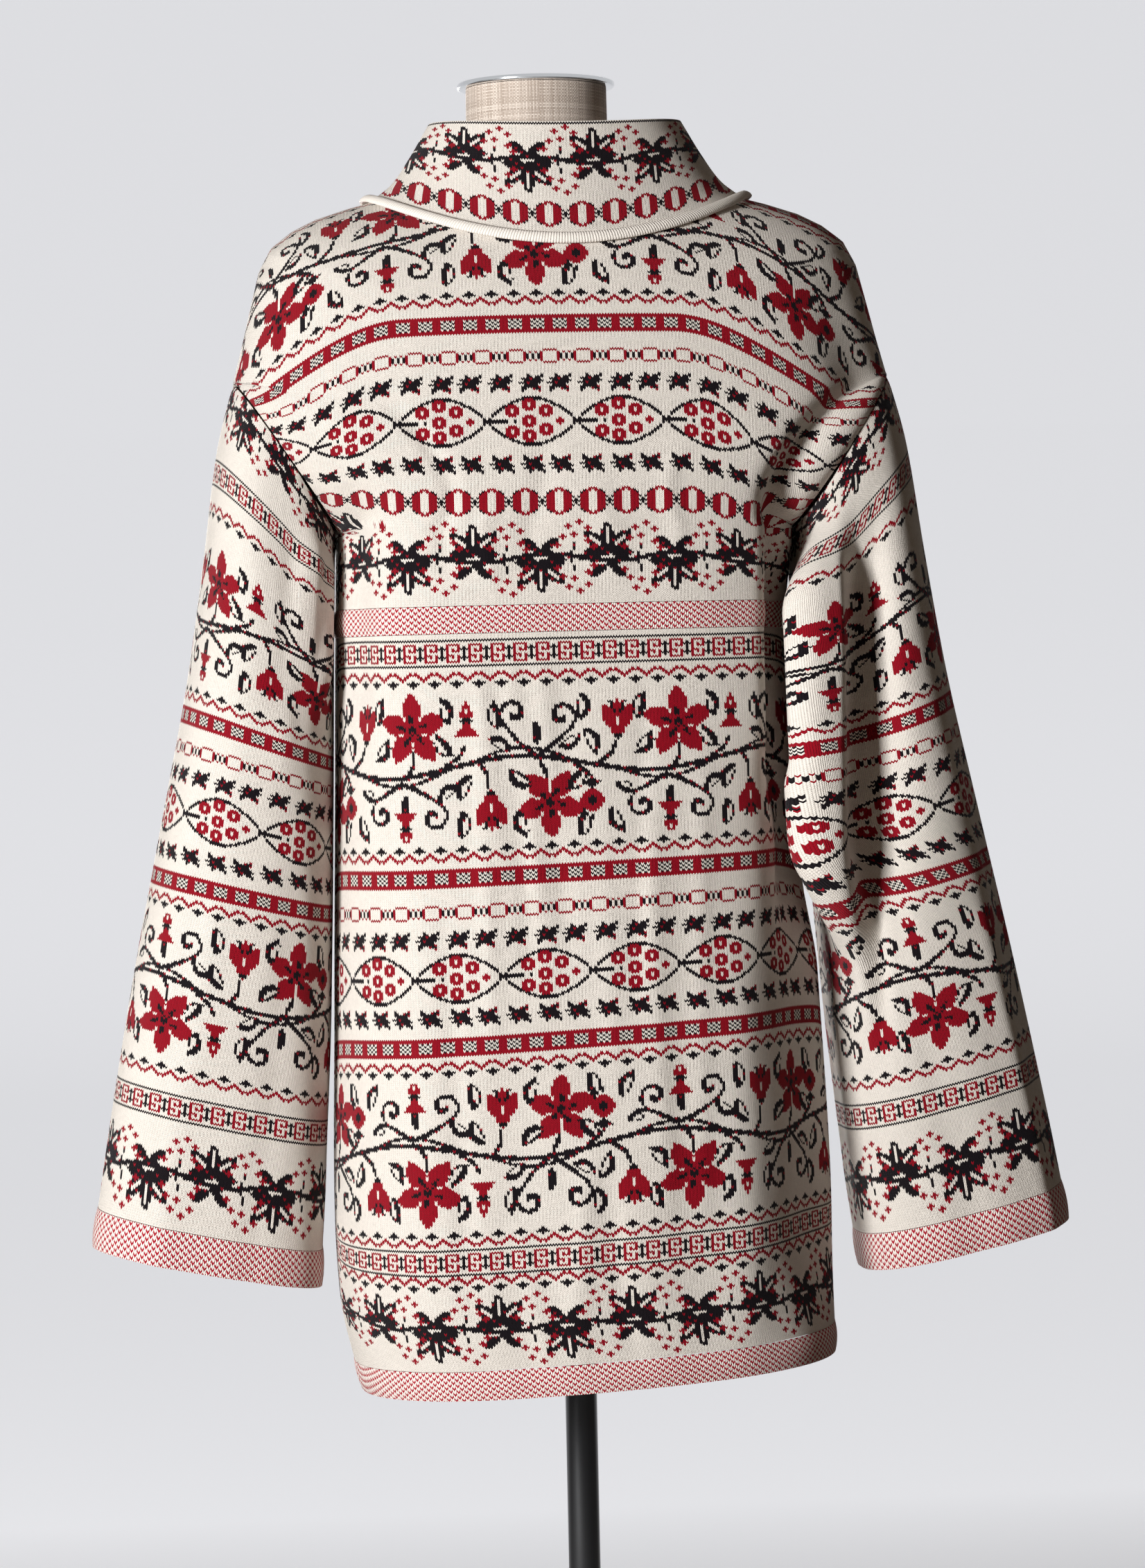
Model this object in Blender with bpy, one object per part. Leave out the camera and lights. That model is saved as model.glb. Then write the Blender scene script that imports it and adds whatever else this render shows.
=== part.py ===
"""A long knitted cardigan on its limbless dress form.

Metres, +Z up. The origin is the centre of the base's underside. The form faces -Y, its left side is +X, and
the back of the cardigan faces +Y. All cloth is worked out from one surface, cloth_point, which runs from the
hem to the collar's rim, and one tube, sleeve_ring, for each sleeve.
"""

import math

import bpy
from mathutils import Vector

# --- Cloth thicknesses and gaps ---
KNIT = 0.0025
BAND_KNIT = 0.0040
BAND_LIFT = 0.0008
SEAM = 0.0003
HALF_SEAM = SEAM / 2
SIDE_CLEARANCE = BAND_LIFT + 0.0005

# --- Levels of the cloth, each the height of its ring at the centre back ---
HEM = 0.524
HEM_BAND_TOP = 0.545
WELT_LOW = 1.0555
WELT_HIGH = 1.0745
UNDERARM = 1.128
SHOULDER = 1.205
COLLAR_SEAM = 1.329
COLLAR_RIM = 1.414

# --- Other sizes of the cardigan ---
COLLAR_BOXINESS = 2.0
FRONT_BAND_WIDTH = 0.020
CUFF_BAND_HEIGHT = 0.022
SLEEVE_ROUND = 0.470
SLEEVE_BOXINESS = 2.4
ROUND_PER_ELLIPSE = 1.035
ARMHOLE_START = 0.003
RIGHT_SLEEVE_SPREAD = 0.009
FRONT_EDGE = FRONT_BAND_WIDTH + SEAM
COLLAR_WELT_HEIGHT = 0.0084
COLLAR_WELT_THICKNESS = 0.0044
COLLAR_WELT_SIDES = 8
WELT_CLEARANCE = BAND_LIFT + 0.0008
WELT_END_GAP = 0.0012
DROOP = 0.055
DROOP_LENGTH = 0.40
SIDE_SEAM_TURN = 0.001

# --- How finely the walls are divided ---
BACK_COLS = 20
FRONT_COLS = 10
ARMHOLE_STEPS = 12
SLEEVE_SIDES = 2 * ARMHOLE_STEPS
SLEEVE_ROW_COUNT = 16

# Level sections of the body below the underarm, superellipses that are boxier near the arms.
BODY_COLUMNS = ("level", "centre_x", "half_width", "back", "front", "boxiness")
BODY_ROWS = (
    (0.524, -0.013, 0.1715, 0.122, 0.120, 2.4),
    (0.590, -0.006, 0.1785, 0.124, 0.122, 2.4),
    (0.640, -0.005, 0.1800, 0.125, 0.123, 2.4),
    (0.800, -0.003, 0.1750, 0.124, 0.123, 2.5),
    (0.950, -0.001, 0.1690, 0.121, 0.124, 2.8),
    (1.065, 0.0, 0.1650, 0.119, 0.125, 3.2),
    (1.128, 0.0, 0.1630, 0.120, 0.126, 3.4),
)

# Rings from the underarm to the collar seam, at their centres. Their sides follow the armhole and the
# shoulder seam.
YOKE_COLUMNS = ("level", "back", "front", "front_height", "boxiness")
YOKE_ROWS = (
    (1.128, 0.120, 0.126, 1.128, 3.4),
    (1.165, 0.121, 0.127, 1.160, 3.0),
    (1.205, 0.119, 0.124, 1.193, 2.7),
    (1.260, 0.112, 0.116, 1.237, 2.4),
    (1.300, 0.102, 0.107, 1.268, 2.2),
    (1.329, 0.092, 0.099, 1.290, 2.0),
)

# The shoulder seam, from the armhole to the neck.
SHOULDER_SEAM_COLUMNS = ("x", "z")
SHOULDER_SEAM_ROWS = (
    (0.2350, 1.2375),
    (0.2285, 1.2620),
    (0.2220, 1.2885),
    (0.2150, 1.3165),
    (0.2060, 1.3335),
    (0.1910, 1.3450),
    (0.1740, 1.3535),
    (0.1510, 1.3610),
    (0.1360, 1.3650),
)

# The funnel collar.
COLLAR_COLUMNS = ("level", "side_x", "side_height", "back", "front", "front_height")
COLLAR_ROWS = (
    (1.329, 0.1360, 1.365, 0.092, 0.099, 1.290),
    (1.350, 0.1190, 1.378, 0.086, 0.093, 1.311),
    (1.378, 0.1060, 1.396, 0.079, 0.086, 1.338),
    (1.414, 0.0910, 1.421, 0.073, 0.080, 1.374),
)

# The left sleeve's outer and inner edge. The inner edge leaves the body's side by spread.
SLEEVE_COLUMNS = ("share", "outer_x", "outer_z", "inner_z", "spread")
SLEEVE_ROWS = (
    (0.00, 0.2350, 1.2375, 1.128, 0.0000),
    (0.08, 0.2475, 1.1890, 1.098, 0.0000),
    (0.21, 0.2590, 1.1100, 1.045, 0.0000),
    (0.35, 0.2720, 1.0280, 0.985, 0.0000),
    (0.53, 0.2940, 0.9205, 0.888, 0.0000),
    (0.71, 0.3160, 0.8130, 0.779, 0.0010),
    (0.90, 0.3365, 0.7000, 0.664, 0.0050),
    (1.00, 0.3490, 0.6235, 0.590, 0.0120),
)

# Soft folds of the body: where round it (0 is the centre back, 90 the left side, 180 the front), and how far
# it stands out, or in where the height is negative.
BODY_FOLD_COLUMNS = ("angle", "low", "high", "width", "height")
BODY_FOLD_ROWS = (
    (-46, 0.93, 1.22, 9, 0.004),
    (-63, 0.90, 1.24, 11, -0.011),
    (-72, 0.80, 1.13, 17, -0.018),
    (-30, 0.50, 0.86, 8, 0.004),
    (-8, 0.50, 0.98, 7, 0.003),
    (14, 0.50, 0.80, 7, -0.003),
    (38, 0.50, 0.92, 9, 0.003),
    (62, 0.95, 1.20, 10, -0.005),
    (138, 0.50, 0.90, 8, 0.004),
    (156, 0.56, 1.02, 7, -0.003),
    (-142, 0.50, 0.94, 9, 0.004),
    (-158, 0.60, 1.00, 7, -0.003),
)

# Folds of the sleeves: angle runs from 0 at the outer edge over 90 at the back to 180 against the body, and
# drifts by drift along the sleeve.
SLEEVE_FOLD_COLUMNS = ("angle", "drift", "low", "high", "width", "height")
RIGHT_SLEEVE_FOLD_ROWS = (
    (116, 34, 0.02, 0.72, 13, 0.016),
    (88, 40, 0.05, 0.66, 15, -0.014),
    (236, -20, 0.03, 0.55, 14, 0.008),
)

# The right sleeve's pleat: its cloth doubles over beside the arm and lies on the back. It moves towards the
# middle of the back (inwards) and away from it (backwards).
RIGHT_PLEAT_COLUMNS = ("angle", "low", "high", "width", "inwards", "backwards")
RIGHT_PLEAT_ROWS = ((140, 0.02, 0.66, 22, 0.028, 0.034),)

LEFT_SLEEVE_FOLD_ROWS = (
    (128, 18, 0.02, 0.34, 14, 0.006),
    (100, 22, 0.04, 0.40, 14, -0.005),
    (240, -24, 0.03, 0.50, 14, 0.008),
)

# --- The form ---
TORSO_COLUMNS = ("height", "half_width", "back", "front")
TORSO_ROWS = (
    (0.745, 0.1440, 0.1000, 0.0980),
    (0.765, 0.1500, 0.1040, 0.1020),
    (0.860, 0.1540, 0.1070, 0.1040),
    (0.950, 0.1380, 0.0930, 0.0930),
    (1.020, 0.1240, 0.0820, 0.0870),
    (1.090, 0.1300, 0.0880, 0.1000),
    (1.160, 0.1420, 0.0970, 0.1130),
    (1.230, 0.1520, 0.0980, 0.1020),
    (1.285, 0.1850, 0.0800, 0.0760),
    (1.318, 0.1900, 0.0600, 0.0560),
    (1.338, 0.1640, 0.0520, 0.0500),
    (1.350, 0.1250, 0.0500, 0.0500),
    (1.366, 0.0850, 0.0500, 0.0500),
    (1.385, 0.0600, 0.0500, 0.0500),
    (1.405, 0.0510, 0.0500, 0.0500),
    (1.446, 0.0505, 0.0505, 0.0505),
)
TORSO_BOXINESS = 2.2
NECK_START = 1.36
NECK_LEAN = 0.013
LEAN_START = 1.33
TORSO_SIDES = 40
CAP_RADIUS = 0.0565
CAP_TOP = 1.450
POLE_RADIUS = 0.0115
POLE_SIDES = 24
BASE_RADIUS = 0.190
BASE_THICKNESS = 0.008
BASE_SIDES = 64

# --- Colours (linear RGB), roughness and metallic ---
CREAM = ((0.80, 0.75, 0.66), 0.95, 0.0)
BIRDSEYE = ((0.55, 0.16, 0.19), 0.95, 0.0)
LINEN = ((0.42, 0.36, 0.31), 0.9, 0.0)
CHROME = ((0.80, 0.80, 0.80), 0.12, 1.0)
GLOSS_BLACK = ((0.01, 0.01, 0.01), 0.15, 0.0)


def clear_scene():
    for thing in list(bpy.data.objects):
        bpy.data.objects.remove(thing, do_unlink=True)


def material(name, look):
    colour, roughness, metallic = look
    made = bpy.data.materials.get(name)
    if made is None:
        made = bpy.data.materials.new(name)
        made.use_nodes = True
        shader = made.node_tree.nodes["Principled BSDF"]
        shader.inputs["Base Color"].default_value = (*colour, 1.0)
        shader.inputs["Roughness"].default_value = roughness
        shader.inputs["Metallic"].default_value = metallic
    return made


# --- Reading the tables ---


def column(columns, rows, name):
    index = columns.index(name)
    return [row[index] for row in rows]


def read(columns, rows, name, at):
    """The named column where the first column is at, on a smooth curve that doesn't overshoot its rows."""
    steps = column(columns, rows, columns[0])
    values = column(columns, rows, name)
    at = min(max(at, steps[0]), steps[-1])
    i = max(k for k in range(len(steps) - 1) if steps[k] <= at)
    slopes = [(values[k + 1] - values[k]) / (steps[k + 1] - steps[k]) for k in range(len(steps) - 1)]

    def tangent(k):
        if k in (0, len(steps) - 1):
            return slopes[min(k, len(slopes) - 1)]
        before, after = slopes[k - 1], slopes[k]
        return 0.0 if before * after <= 0 else 2 * before * after / (before + after)

    width = steps[i + 1] - steps[i]
    t = (at - steps[i]) / width
    return (
        values[i] * (1 + 2 * t) * (1 - t) ** 2
        + tangent(i) * width * t * (1 - t) ** 2
        + values[i + 1] * t * t * (3 - 2 * t)
        + tangent(i + 1) * width * t * t * (t - 1)
    )


def along(points, share):
    """The point this share of the way along a polyline."""
    lengths = [math.dist(a, b) for a, b in zip(points, points[1:])]
    left = share * sum(lengths)
    for a, b, length in zip(points, points[1:], lengths):
        if left <= length or b is points[-1]:
            return [p + (q - p) * left / length for p, q in zip(a, b)]
        left -= length


def ramp(value, low, high):
    t = min(max((value - low) / (high - low), 0.0), 1.0)
    return t * t * (3 - 2 * t)


def bell(distance, width):
    return math.exp(-((distance / width) ** 2))


def window(value, low, high):
    """1 between low and high, fading to 0 over a quarter of the stretch at each end."""
    fade = (high - low) / 4
    return ramp(value, low, low + fade) * (1 - ramp(value, high - fade, high))


def turn_between(a, b):
    """The angle from a to b in degrees, from -180 to 180."""
    return (b - a + 180) % 360 - 180


# --- The sleeves ---


def body_side(level, right):
    """How far the body's side stands from the middle at this height."""
    centre = read(BODY_COLUMNS, BODY_ROWS, "centre_x", level)
    return read(BODY_COLUMNS, BODY_ROWS, "half_width", level) + (-centre if right else centre)


def sleeve_frame(share, right):
    """The ring's centre, its reach to the outer edge, and half its depth, always as if on the left side.

    share runs from 0 at the armhole to 1 at the cuff's edge. The tube keeps its length round."""
    outer_x, outer_z, inner_z, away = (
        read(SLEEVE_COLUMNS, SLEEVE_ROWS, name, share) for name in SLEEVE_COLUMNS[1:]
    )
    wider = RIGHT_SLEEVE_SPREAD * share**2 if right else 0.0
    inner_x = body_side(inner_z, right) + SIDE_CLEARANCE * ramp(share, 0.0, 0.05) + away + wider
    outer, inner = Vector((outer_x + wider, 0.0, outer_z)), Vector((inner_x, 0.0, inner_z))
    reach = (outer - inner) / 2
    mean_radius = SLEEVE_ROUND / (2 * math.pi) / ROUND_PER_ELLIPSE
    return (outer + inner) / 2, reach, math.sqrt(2 * mean_radius**2 - reach.length_squared)


def sleeve_ring(share, angle, right):
    """A point of the plain tube: angle is 0 at the outer edge, 90 at the back and 180 against the body."""
    centre, reach, depth = sleeve_frame(share, right)
    c, s = math.cos(math.radians(angle)), math.sin(math.radians(angle))
    power = 2 / SLEEVE_BOXINESS
    across, deep = math.copysign(abs(c) ** power, c), math.copysign(abs(s) ** power, s)
    return centre + reach * across + Vector((0.0, depth * deep, 0.0))


def pleated(share, angle, right):
    """A point of the tube with its pleat."""
    point = sleeve_ring(share, angle, right)
    for where, low, high, width, inwards, backwards in RIGHT_PLEAT_ROWS if right else ():
        moved = bell(turn_between(where, angle), width) * window(share, low, high)
        point += Vector((-inwards, backwards, 0.0)) * moved
    return point


def sleeve_normal(share, angle, right):
    turn = pleated(share, angle + 1, right) - pleated(share, angle - 1, right)
    low, high = min(share + 0.01, 1.0), max(share - 0.01, 0.0)
    down = pleated(low, angle, right) - pleated(high, angle, right)
    return turn.cross(down).normalized() * -1


def sleeve_fold(share, angle, right):
    folds = RIGHT_SLEEVE_FOLD_ROWS if right else LEFT_SLEEVE_FOLD_ROWS
    return sum(
        height * bell(turn_between(where + drift * share, angle), width) * window(share, low, high)
        for where, drift, low, high, width, height in folds
    )


# --- The cloth from hem to collar ---


def armhole_angle(level):
    """Where on the armhole a level of the body ends: 180 is the underarm and 0 the shoulder point."""
    return 180 * (1 - (level - UNDERARM) / (SHOULDER - UNDERARM))


def cloth_ring(level, right):
    """Half a ring: centre_x, the point where it ends at the side, (depth, height) of its middle at the back
    and at the front, and its boxiness."""
    if level <= UNDERARM:
        centre, half_width, back, front, boxiness = (
            read(BODY_COLUMNS, BODY_ROWS, name, level) for name in BODY_COLUMNS[1:]
        )
        return centre, (half_width, 0.0, level), (back, level), (front, level), boxiness
    if level <= COLLAR_SEAM:
        back, front, front_height, boxiness = (
            read(YOKE_COLUMNS, YOKE_ROWS, name, level) for name in YOKE_COLUMNS[1:]
        )
        if level <= SHOULDER:
            side = tuple(sleeve_ring(0.0, armhole_angle(level), right))
        else:
            x, z = along(SHOULDER_SEAM_ROWS, (level - SHOULDER) / (COLLAR_SEAM - SHOULDER))
            side = (x, 0.0, z)
        return 0.0, side, (back, level), (front, front_height), boxiness
    side_x, side_z, back, front, front_height = (
        read(COLLAR_COLUMNS, COLLAR_ROWS, name, level) for name in COLLAR_COLUMNS[1:]
    )
    return 0.0, (side_x, 0.0, side_z), (back, level), (front, front_height), COLLAR_BOXINESS


def quarter(level, right, at_back):
    """The superellipse that a quarter of the ring lies on: half width, depth, power and angle of its end."""
    _, side, back, front, boxiness = cloth_ring(level, right)
    depth = (back if at_back else front)[0]
    share = max(side[1], HALF_SEAM) / depth
    half_width = side[0] / (1 - share**boxiness) ** (1 / boxiness)
    return half_width, depth, 2 / boxiness, math.acos(share ** (boxiness / 2))


def cloth_point(level, angle):
    """The cloth's outer surface. angle is 0 at the centre back, 90 at the left side and 180 at the front."""
    right, at_back = angle < 0, abs(angle) <= 90
    centre, side, back, front, _ = cloth_ring(level, right)
    half_width, depth, power, last = quarter(level, right, at_back)
    turned = (abs(angle) if at_back else 180 - abs(angle)) / 90 * last
    x = half_width * math.sin(turned) ** power
    y = depth * math.cos(turned) ** power * (1 if at_back else -1)
    middle_z = (back if at_back else front)[1]
    z = middle_z + (side[2] - middle_z) * (x / side[0]) ** 2
    x = centre + (-x if right else x)
    return Vector((x, y, z - DROOP * x * ramp(UNDERARM - level, 0.0, DROOP_LENGTH)))


def cloth_normal(level, angle):
    """Outwards. The steps round the ring stay on the back or on one front."""
    step, rise = 0.5, 0.003
    if abs(angle) <= 90:
        low, high = max(angle - step, -90), min(angle + step, 90)
    else:
        near, far = max(abs(angle) - step, 90 + SIDE_SEAM_TURN), min(abs(angle) + step, 180)
        low, high = (near, far) if angle > 0 else (-far, -near)
    up = cloth_point(min(level + rise, COLLAR_RIM), angle) - cloth_point(max(level - rise, HEM), angle)
    return up.cross(cloth_point(level, high) - cloth_point(level, low)).normalized()


def body_fold(level, angle):
    return sum(
        height * bell(turn_between(where, angle), width) * window(level, low, high)
        for where, low, high, width, height in BODY_FOLD_ROWS
    )


def angle_at_x(level, x):
    """The angle on a front at which the ring is this far from its own middle."""
    half_width, _, power, last = quarter(level, x < 0, False)
    turned = math.asin((abs(x) / half_width) ** (1 / power))
    return math.copysign(180 - 90 * math.degrees(turned) / math.degrees(last), x)


def shared_normal(own, other):
    """The mitre between two walls that meet at a seam, or the wall's own normal where they fold back."""
    weight = ramp(own.dot(other), 0.0, 0.5)
    return (own + other * weight).normalized()


def mirrored(vector, right):
    return Vector((-vector.x, vector.y, vector.z)) if right else vector


# --- Solids ---


def solid(name, points, faces, look_name, look):
    mesh = bpy.data.meshes.new(name)
    mesh.from_pydata([tuple(p) for p in points], [], faces)
    mesh.update()
    mesh.materials.append(material(look_name, look))
    mesh.shade_smooth()
    mesh.set_sharp_from_angle(angle=math.radians(50))
    made = bpy.data.objects.new(name, mesh)
    bpy.context.scene.collection.objects.link(made)
    return made


def wall(name, outer, inner, look_name, look, closed=False):
    """One closed wall between two grids of the same size, given row by row from the bottom up.

    Along a row the points run anticlockwise as seen from above, so that the outer faces look out."""
    rows, cols = len(outer), len(outer[0])
    points = [p for row in outer for p in row] + [p for row in inner for p in row]
    inside, top = rows * cols, (rows - 1) * cols
    steps = range(cols if closed else cols - 1)
    faces = []
    for r in range(rows - 1):
        for c in steps:
            a, b = r * cols + c, r * cols + (c + 1) % cols
            faces.append((a, b, b + cols, a + cols))
            faces.append((inside + a, inside + a + cols, inside + b + cols, inside + b))
    for c in steps:
        d = (c + 1) % cols
        faces.append((c, inside + c, inside + d, d))
        faces.append((top + c, top + d, inside + top + d, inside + top + c))
    if not closed:
        for a in range(0, top, cols):
            faces.append((a, a + cols, inside + a + cols, inside + a))
            b = a + cols - 1
            faces.append((b, inside + b, inside + b + cols, b + cols))
    return solid(name, points, faces, look_name, look)


def spread(low, high, count):
    return [low + (high - low) * k / count for k in range(count + 1)]


def seam_normal(level, angle):
    """The cloth's normal, mitred with the sleeve's along the armhole."""
    own = cloth_normal(level, angle)
    at_side = abs(abs(angle) - 90) < 2 * SIDE_SEAM_TURN
    if not (at_side and UNDERARM <= level <= SHOULDER):
        return own
    turned = armhole_angle(level) * (1 if abs(angle) <= 90 else -1)
    return shared_normal(own, mirrored(sleeve_normal(0.0, turned, angle < 0), angle < 0))


def panel(name, levels, start, end, cols, look_name="cream_knit", look=CREAM, thick=KNIT, lift=0.0):
    """A piece of the cloth through these levels. start and end give its first and last angle."""
    outer, inner = [], []
    for level in levels:
        outside, inside = [], []
        for angle in spread(start(level), end(level), cols):
            point, normal = cloth_point(level, angle), seam_normal(level, angle)
            stands = body_fold(level, angle) + lift
            outside.append(point + normal * stands)
            inside.append(point + normal * (stands - thick))
        outer.append(outside)
        inner.append(inside)
    return wall(name, outer, inner, look_name, look)


def back_piece(name, levels, cols, **options):
    return panel(name, levels, lambda level: 90, lambda level: -90, cols, **options)


def front_piece(name, levels, side, cols, near=FRONT_EDGE, far=None, **options):
    """A piece of the left (side 1) or right (side -1) front, from near off the centre front to far, or to the
    side seam."""

    def middle(level):
        return angle_at_x(level, side * near)

    def outer(level):
        return angle_at_x(level, side * far) if far else side * (90 + SIDE_SEAM_TURN)

    return panel(name, levels, *((middle, outer) if side > 0 else (outer, middle)), cols, **options)


def yoke_levels(low):
    """From low to the collar seam, with rings close together along the armhole."""
    return [
        *spread(low, UNDERARM, 3),
        *spread(UNDERARM, SHOULDER, ARMHOLE_STEPS)[1:],
        *spread(SHOULDER, COLLAR_SEAM - HALF_SEAM, 8)[1:],
    ]


def sleeve_piece(name, side, low, high, rows, look_name="cream_knit", look=CREAM, thick=KNIT, lift=0.0):
    """A stretch of a sleeve from share low to share high, built from its lower end up."""
    right = side < 0
    outer, inner = [], []
    for share in reversed(spread(low, high, rows)):
        outside, inside = [], []
        for k in range(SLEEVE_SIDES):
            angle = 360 * k / SLEEVE_SIDES * side
            normal = sleeve_normal(share, angle, right)
            if share == ARMHOLE_START:
                normal = armhole_mitre(angle, normal, right)
            stands = sleeve_fold(share, angle, right) + lift
            point = pleated(share, angle, right)
            outside.append(mirrored(point + normal * stands, right))
            inside.append(mirrored(point + normal * (stands - thick), right))
        outer.append(outside)
        inner.append(inside)
    return wall(name, outer, inner, look_name, look, closed=True)


def armhole_mitre(angle, own, right):
    """The sleeve's first normal, mitred with the body's at the same place on the armhole."""
    turned = turn_between(0, angle)
    level = UNDERARM + (1 - abs(turned) / 180) * (SHOULDER - UNDERARM)
    place = 90 if turned >= 0 else 90 + SIDE_SEAM_TURN
    return shared_normal(own, mirrored(cloth_normal(level, -place if right else place), right))


def disc(radius, low, high, edge):
    """The profile of a disc or rod with eased edges."""
    return (radius - edge, low), (radius, low + edge), (radius, high - edge), (radius - edge, high)


def turned_solid(name, profile, sides, look_name, look, middle_x=0.0):
    """A round solid from a profile of (radius, height) rows, bottom to top, with flat ends."""
    turns = spread(0, 2 * math.pi, sides)[:-1]
    rings = [[Vector((middle_x + r * math.cos(t), r * math.sin(t), z)) for t in turns] for r, z in profile]
    return ring_solid(name, rings, look_name, look)


def ring_solid(name, rings, look_name, look):
    """A solid skinned over rings of the same count, bottom to top, with flat ends."""
    sides = len(rings[0])
    faces = [tuple(reversed(range(sides))), tuple((len(rings) - 1) * sides + k for k in range(sides))]
    for r in range(len(rings) - 1):
        for k in range(sides):
            a, b = r * sides + k, r * sides + (k + 1) % sides
            faces.append((a, b, b + sides, a + sides))
    return solid(name, [p for ring in rings for p in ring], faces, look_name, look)


# --- The pieces ---


def make_body():
    birdseye = {"look_name": "birdseye_knit", "look": BIRDSEYE, "thick": BAND_KNIT, "lift": BAND_LIFT}
    hem = spread(HEM, HEM_BAND_TOP - HALF_SEAM, 1)
    skirt = spread(HEM_BAND_TOP + HALF_SEAM, WELT_LOW - HALF_SEAM, 10)
    welt = spread(WELT_LOW + HALF_SEAM, WELT_HIGH - HALF_SEAM, 1)
    yoke = yoke_levels(WELT_HIGH + HALF_SEAM)
    back_piece("hem_band_back", hem, BACK_COLS, **birdseye)
    back_piece("back_lower", skirt, BACK_COLS)
    back_piece("waist_welt_back", welt, BACK_COLS, **birdseye)
    back_piece("back_upper", yoke, BACK_COLS)
    for side, word in ((1, "left"), (-1, "right")):
        front_piece(f"hem_band_{word}", hem, side, FRONT_COLS, **birdseye)
        front_piece(f"front_lower_{word}", skirt, side, FRONT_COLS)
        front_piece(f"waist_welt_{word}", welt, side, FRONT_COLS, **birdseye)
        front_piece(f"front_upper_{word}", yoke, side, FRONT_COLS)
        rows = [hem[0], *skirt, *welt, *yoke]
        front_piece(f"front_band_{word}", rows, side, 1, near=SEAM, far=FRONT_BAND_WIDTH, **birdseye)


def make_collar():
    outer, inner = [], []
    for level in spread(COLLAR_SEAM + HALF_SEAM, COLLAR_RIM, 4):
        outside, inside = [], []
        for angle in round_from_front(level, SEAM):
            point = cloth_point(level, angle)
            outside.append(point)
            inside.append(point - cloth_normal(level, angle) * KNIT)
        outer.append(outside)
        inner.append(inside)
    wall("collar", outer, inner, "cream_knit", CREAM)


def round_from_front(level, gap):
    """Angles all the way round a level, anticlockwise from the left front's edge to the right front's."""
    left = spread(angle_at_x(level, gap), 90, FRONT_COLS)
    right = spread(-90, angle_at_x(level, -gap), FRONT_COLS)
    return [*left, *spread(90, -90, BACK_COLS)[1:-1], *right]


def make_collar_welt():
    """A flattened roll of cloth lying on the collar seam, open at the centre front."""
    rings = []
    for angle in round_from_front(COLLAR_SEAM, WELT_END_GAP):
        point, normal = cloth_point(COLLAR_SEAM, angle), cloth_normal(COLLAR_SEAM, angle)
        up = (cloth_point(COLLAR_SEAM + 0.003, angle) - cloth_point(COLLAR_SEAM - 0.003, angle)).normalized()
        centre = point + normal * (COLLAR_WELT_THICKNESS / 2 + WELT_CLEARANCE)
        ring = []
        for t in spread(0, 2 * math.pi, COLLAR_WELT_SIDES)[:-1]:
            out = normal * math.cos(t) * COLLAR_WELT_THICKNESS / 2
            ring.append(centre + out - up * math.sin(t) * COLLAR_WELT_HEIGHT / 2)
        rings.append(ring)
    ring_solid("collar_welt", rings, "cream_knit", CREAM)


def make_sleeves():
    outer_edge = [row[1:3] for row in SLEEVE_ROWS]
    length = sum(math.dist(a, b) for a, b in zip(outer_edge, outer_edge[1:]))
    cuff = 1 - CUFF_BAND_HEIGHT / length
    gap = HALF_SEAM / length
    for side, word in ((1, "left"), (-1, "right")):
        sleeve_piece(f"sleeve_{word}", side, ARMHOLE_START, cuff - gap, SLEEVE_ROW_COUNT)
        sleeve_piece(
            f"cuff_band_{word}", side, cuff + gap, 1.0, 1, "birdseye_knit", BIRDSEYE, BAND_KNIT, BAND_LIFT
        )


def make_form():
    rings = []
    for height, half_width, back, front in TORSO_ROWS:
        ring = []
        for t in spread(0, 2 * math.pi, TORSO_SIDES)[:-1]:
            c, s = math.cos(t), math.sin(t)
            power = 2 / (TORSO_BOXINESS if height < NECK_START else 2)
            across, deep = math.copysign(abs(c) ** power, c), math.copysign(abs(s) ** power, s)
            lean = NECK_LEAN * ramp(height, LEAN_START, TORSO_ROWS[-2][0])
            ring.append(Vector((half_width * across + lean, (back if s > 0 else front) * deep, height)))
        rings.append(ring)
    ring_solid("form_torso", rings, "linen", LINEN)
    low = TORSO_ROWS[-1][0] + SEAM
    neck_top = TORSO_ROWS[-1][0]
    torso_bottom = TORSO_ROWS[0][0]
    cap = disc(CAP_RADIUS, neck_top + SEAM, CAP_TOP, 0.0010)
    turned_solid("neck_cap", cap, BASE_SIDES, "chrome", CHROME, NECK_LEAN)
    pole = disc(POLE_RADIUS, BASE_THICKNESS + SEAM, torso_bottom - SEAM, 0.0005)
    turned_solid("pole", pole, POLE_SIDES, "gloss_black", GLOSS_BLACK)
    base = disc(BASE_RADIUS, 0.0, BASE_THICKNESS, 0.0015)
    turned_solid("base", base, BASE_SIDES, "gloss_black", GLOSS_BLACK)


clear_scene()
make_body()
make_collar()
make_collar_welt()
make_sleeves()
make_form()
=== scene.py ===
# %% [markdown]
# # A long jacquard cardigan on its dress form
#
# The real object is a long cardigan knitted in cream, crimson and black wool. It hangs on a dress form: a
# linen-covered torso with a polished neck cap, on a glossy black pole and base. The plain solids of the CAD
# model come in first and fix every size. This script then makes each of their surfaces look real.

# %% The fixed frame
import math
from functools import lru_cache

import bmesh
import bpy
import numpy as np
from mathutils import Matrix, Vector


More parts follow.
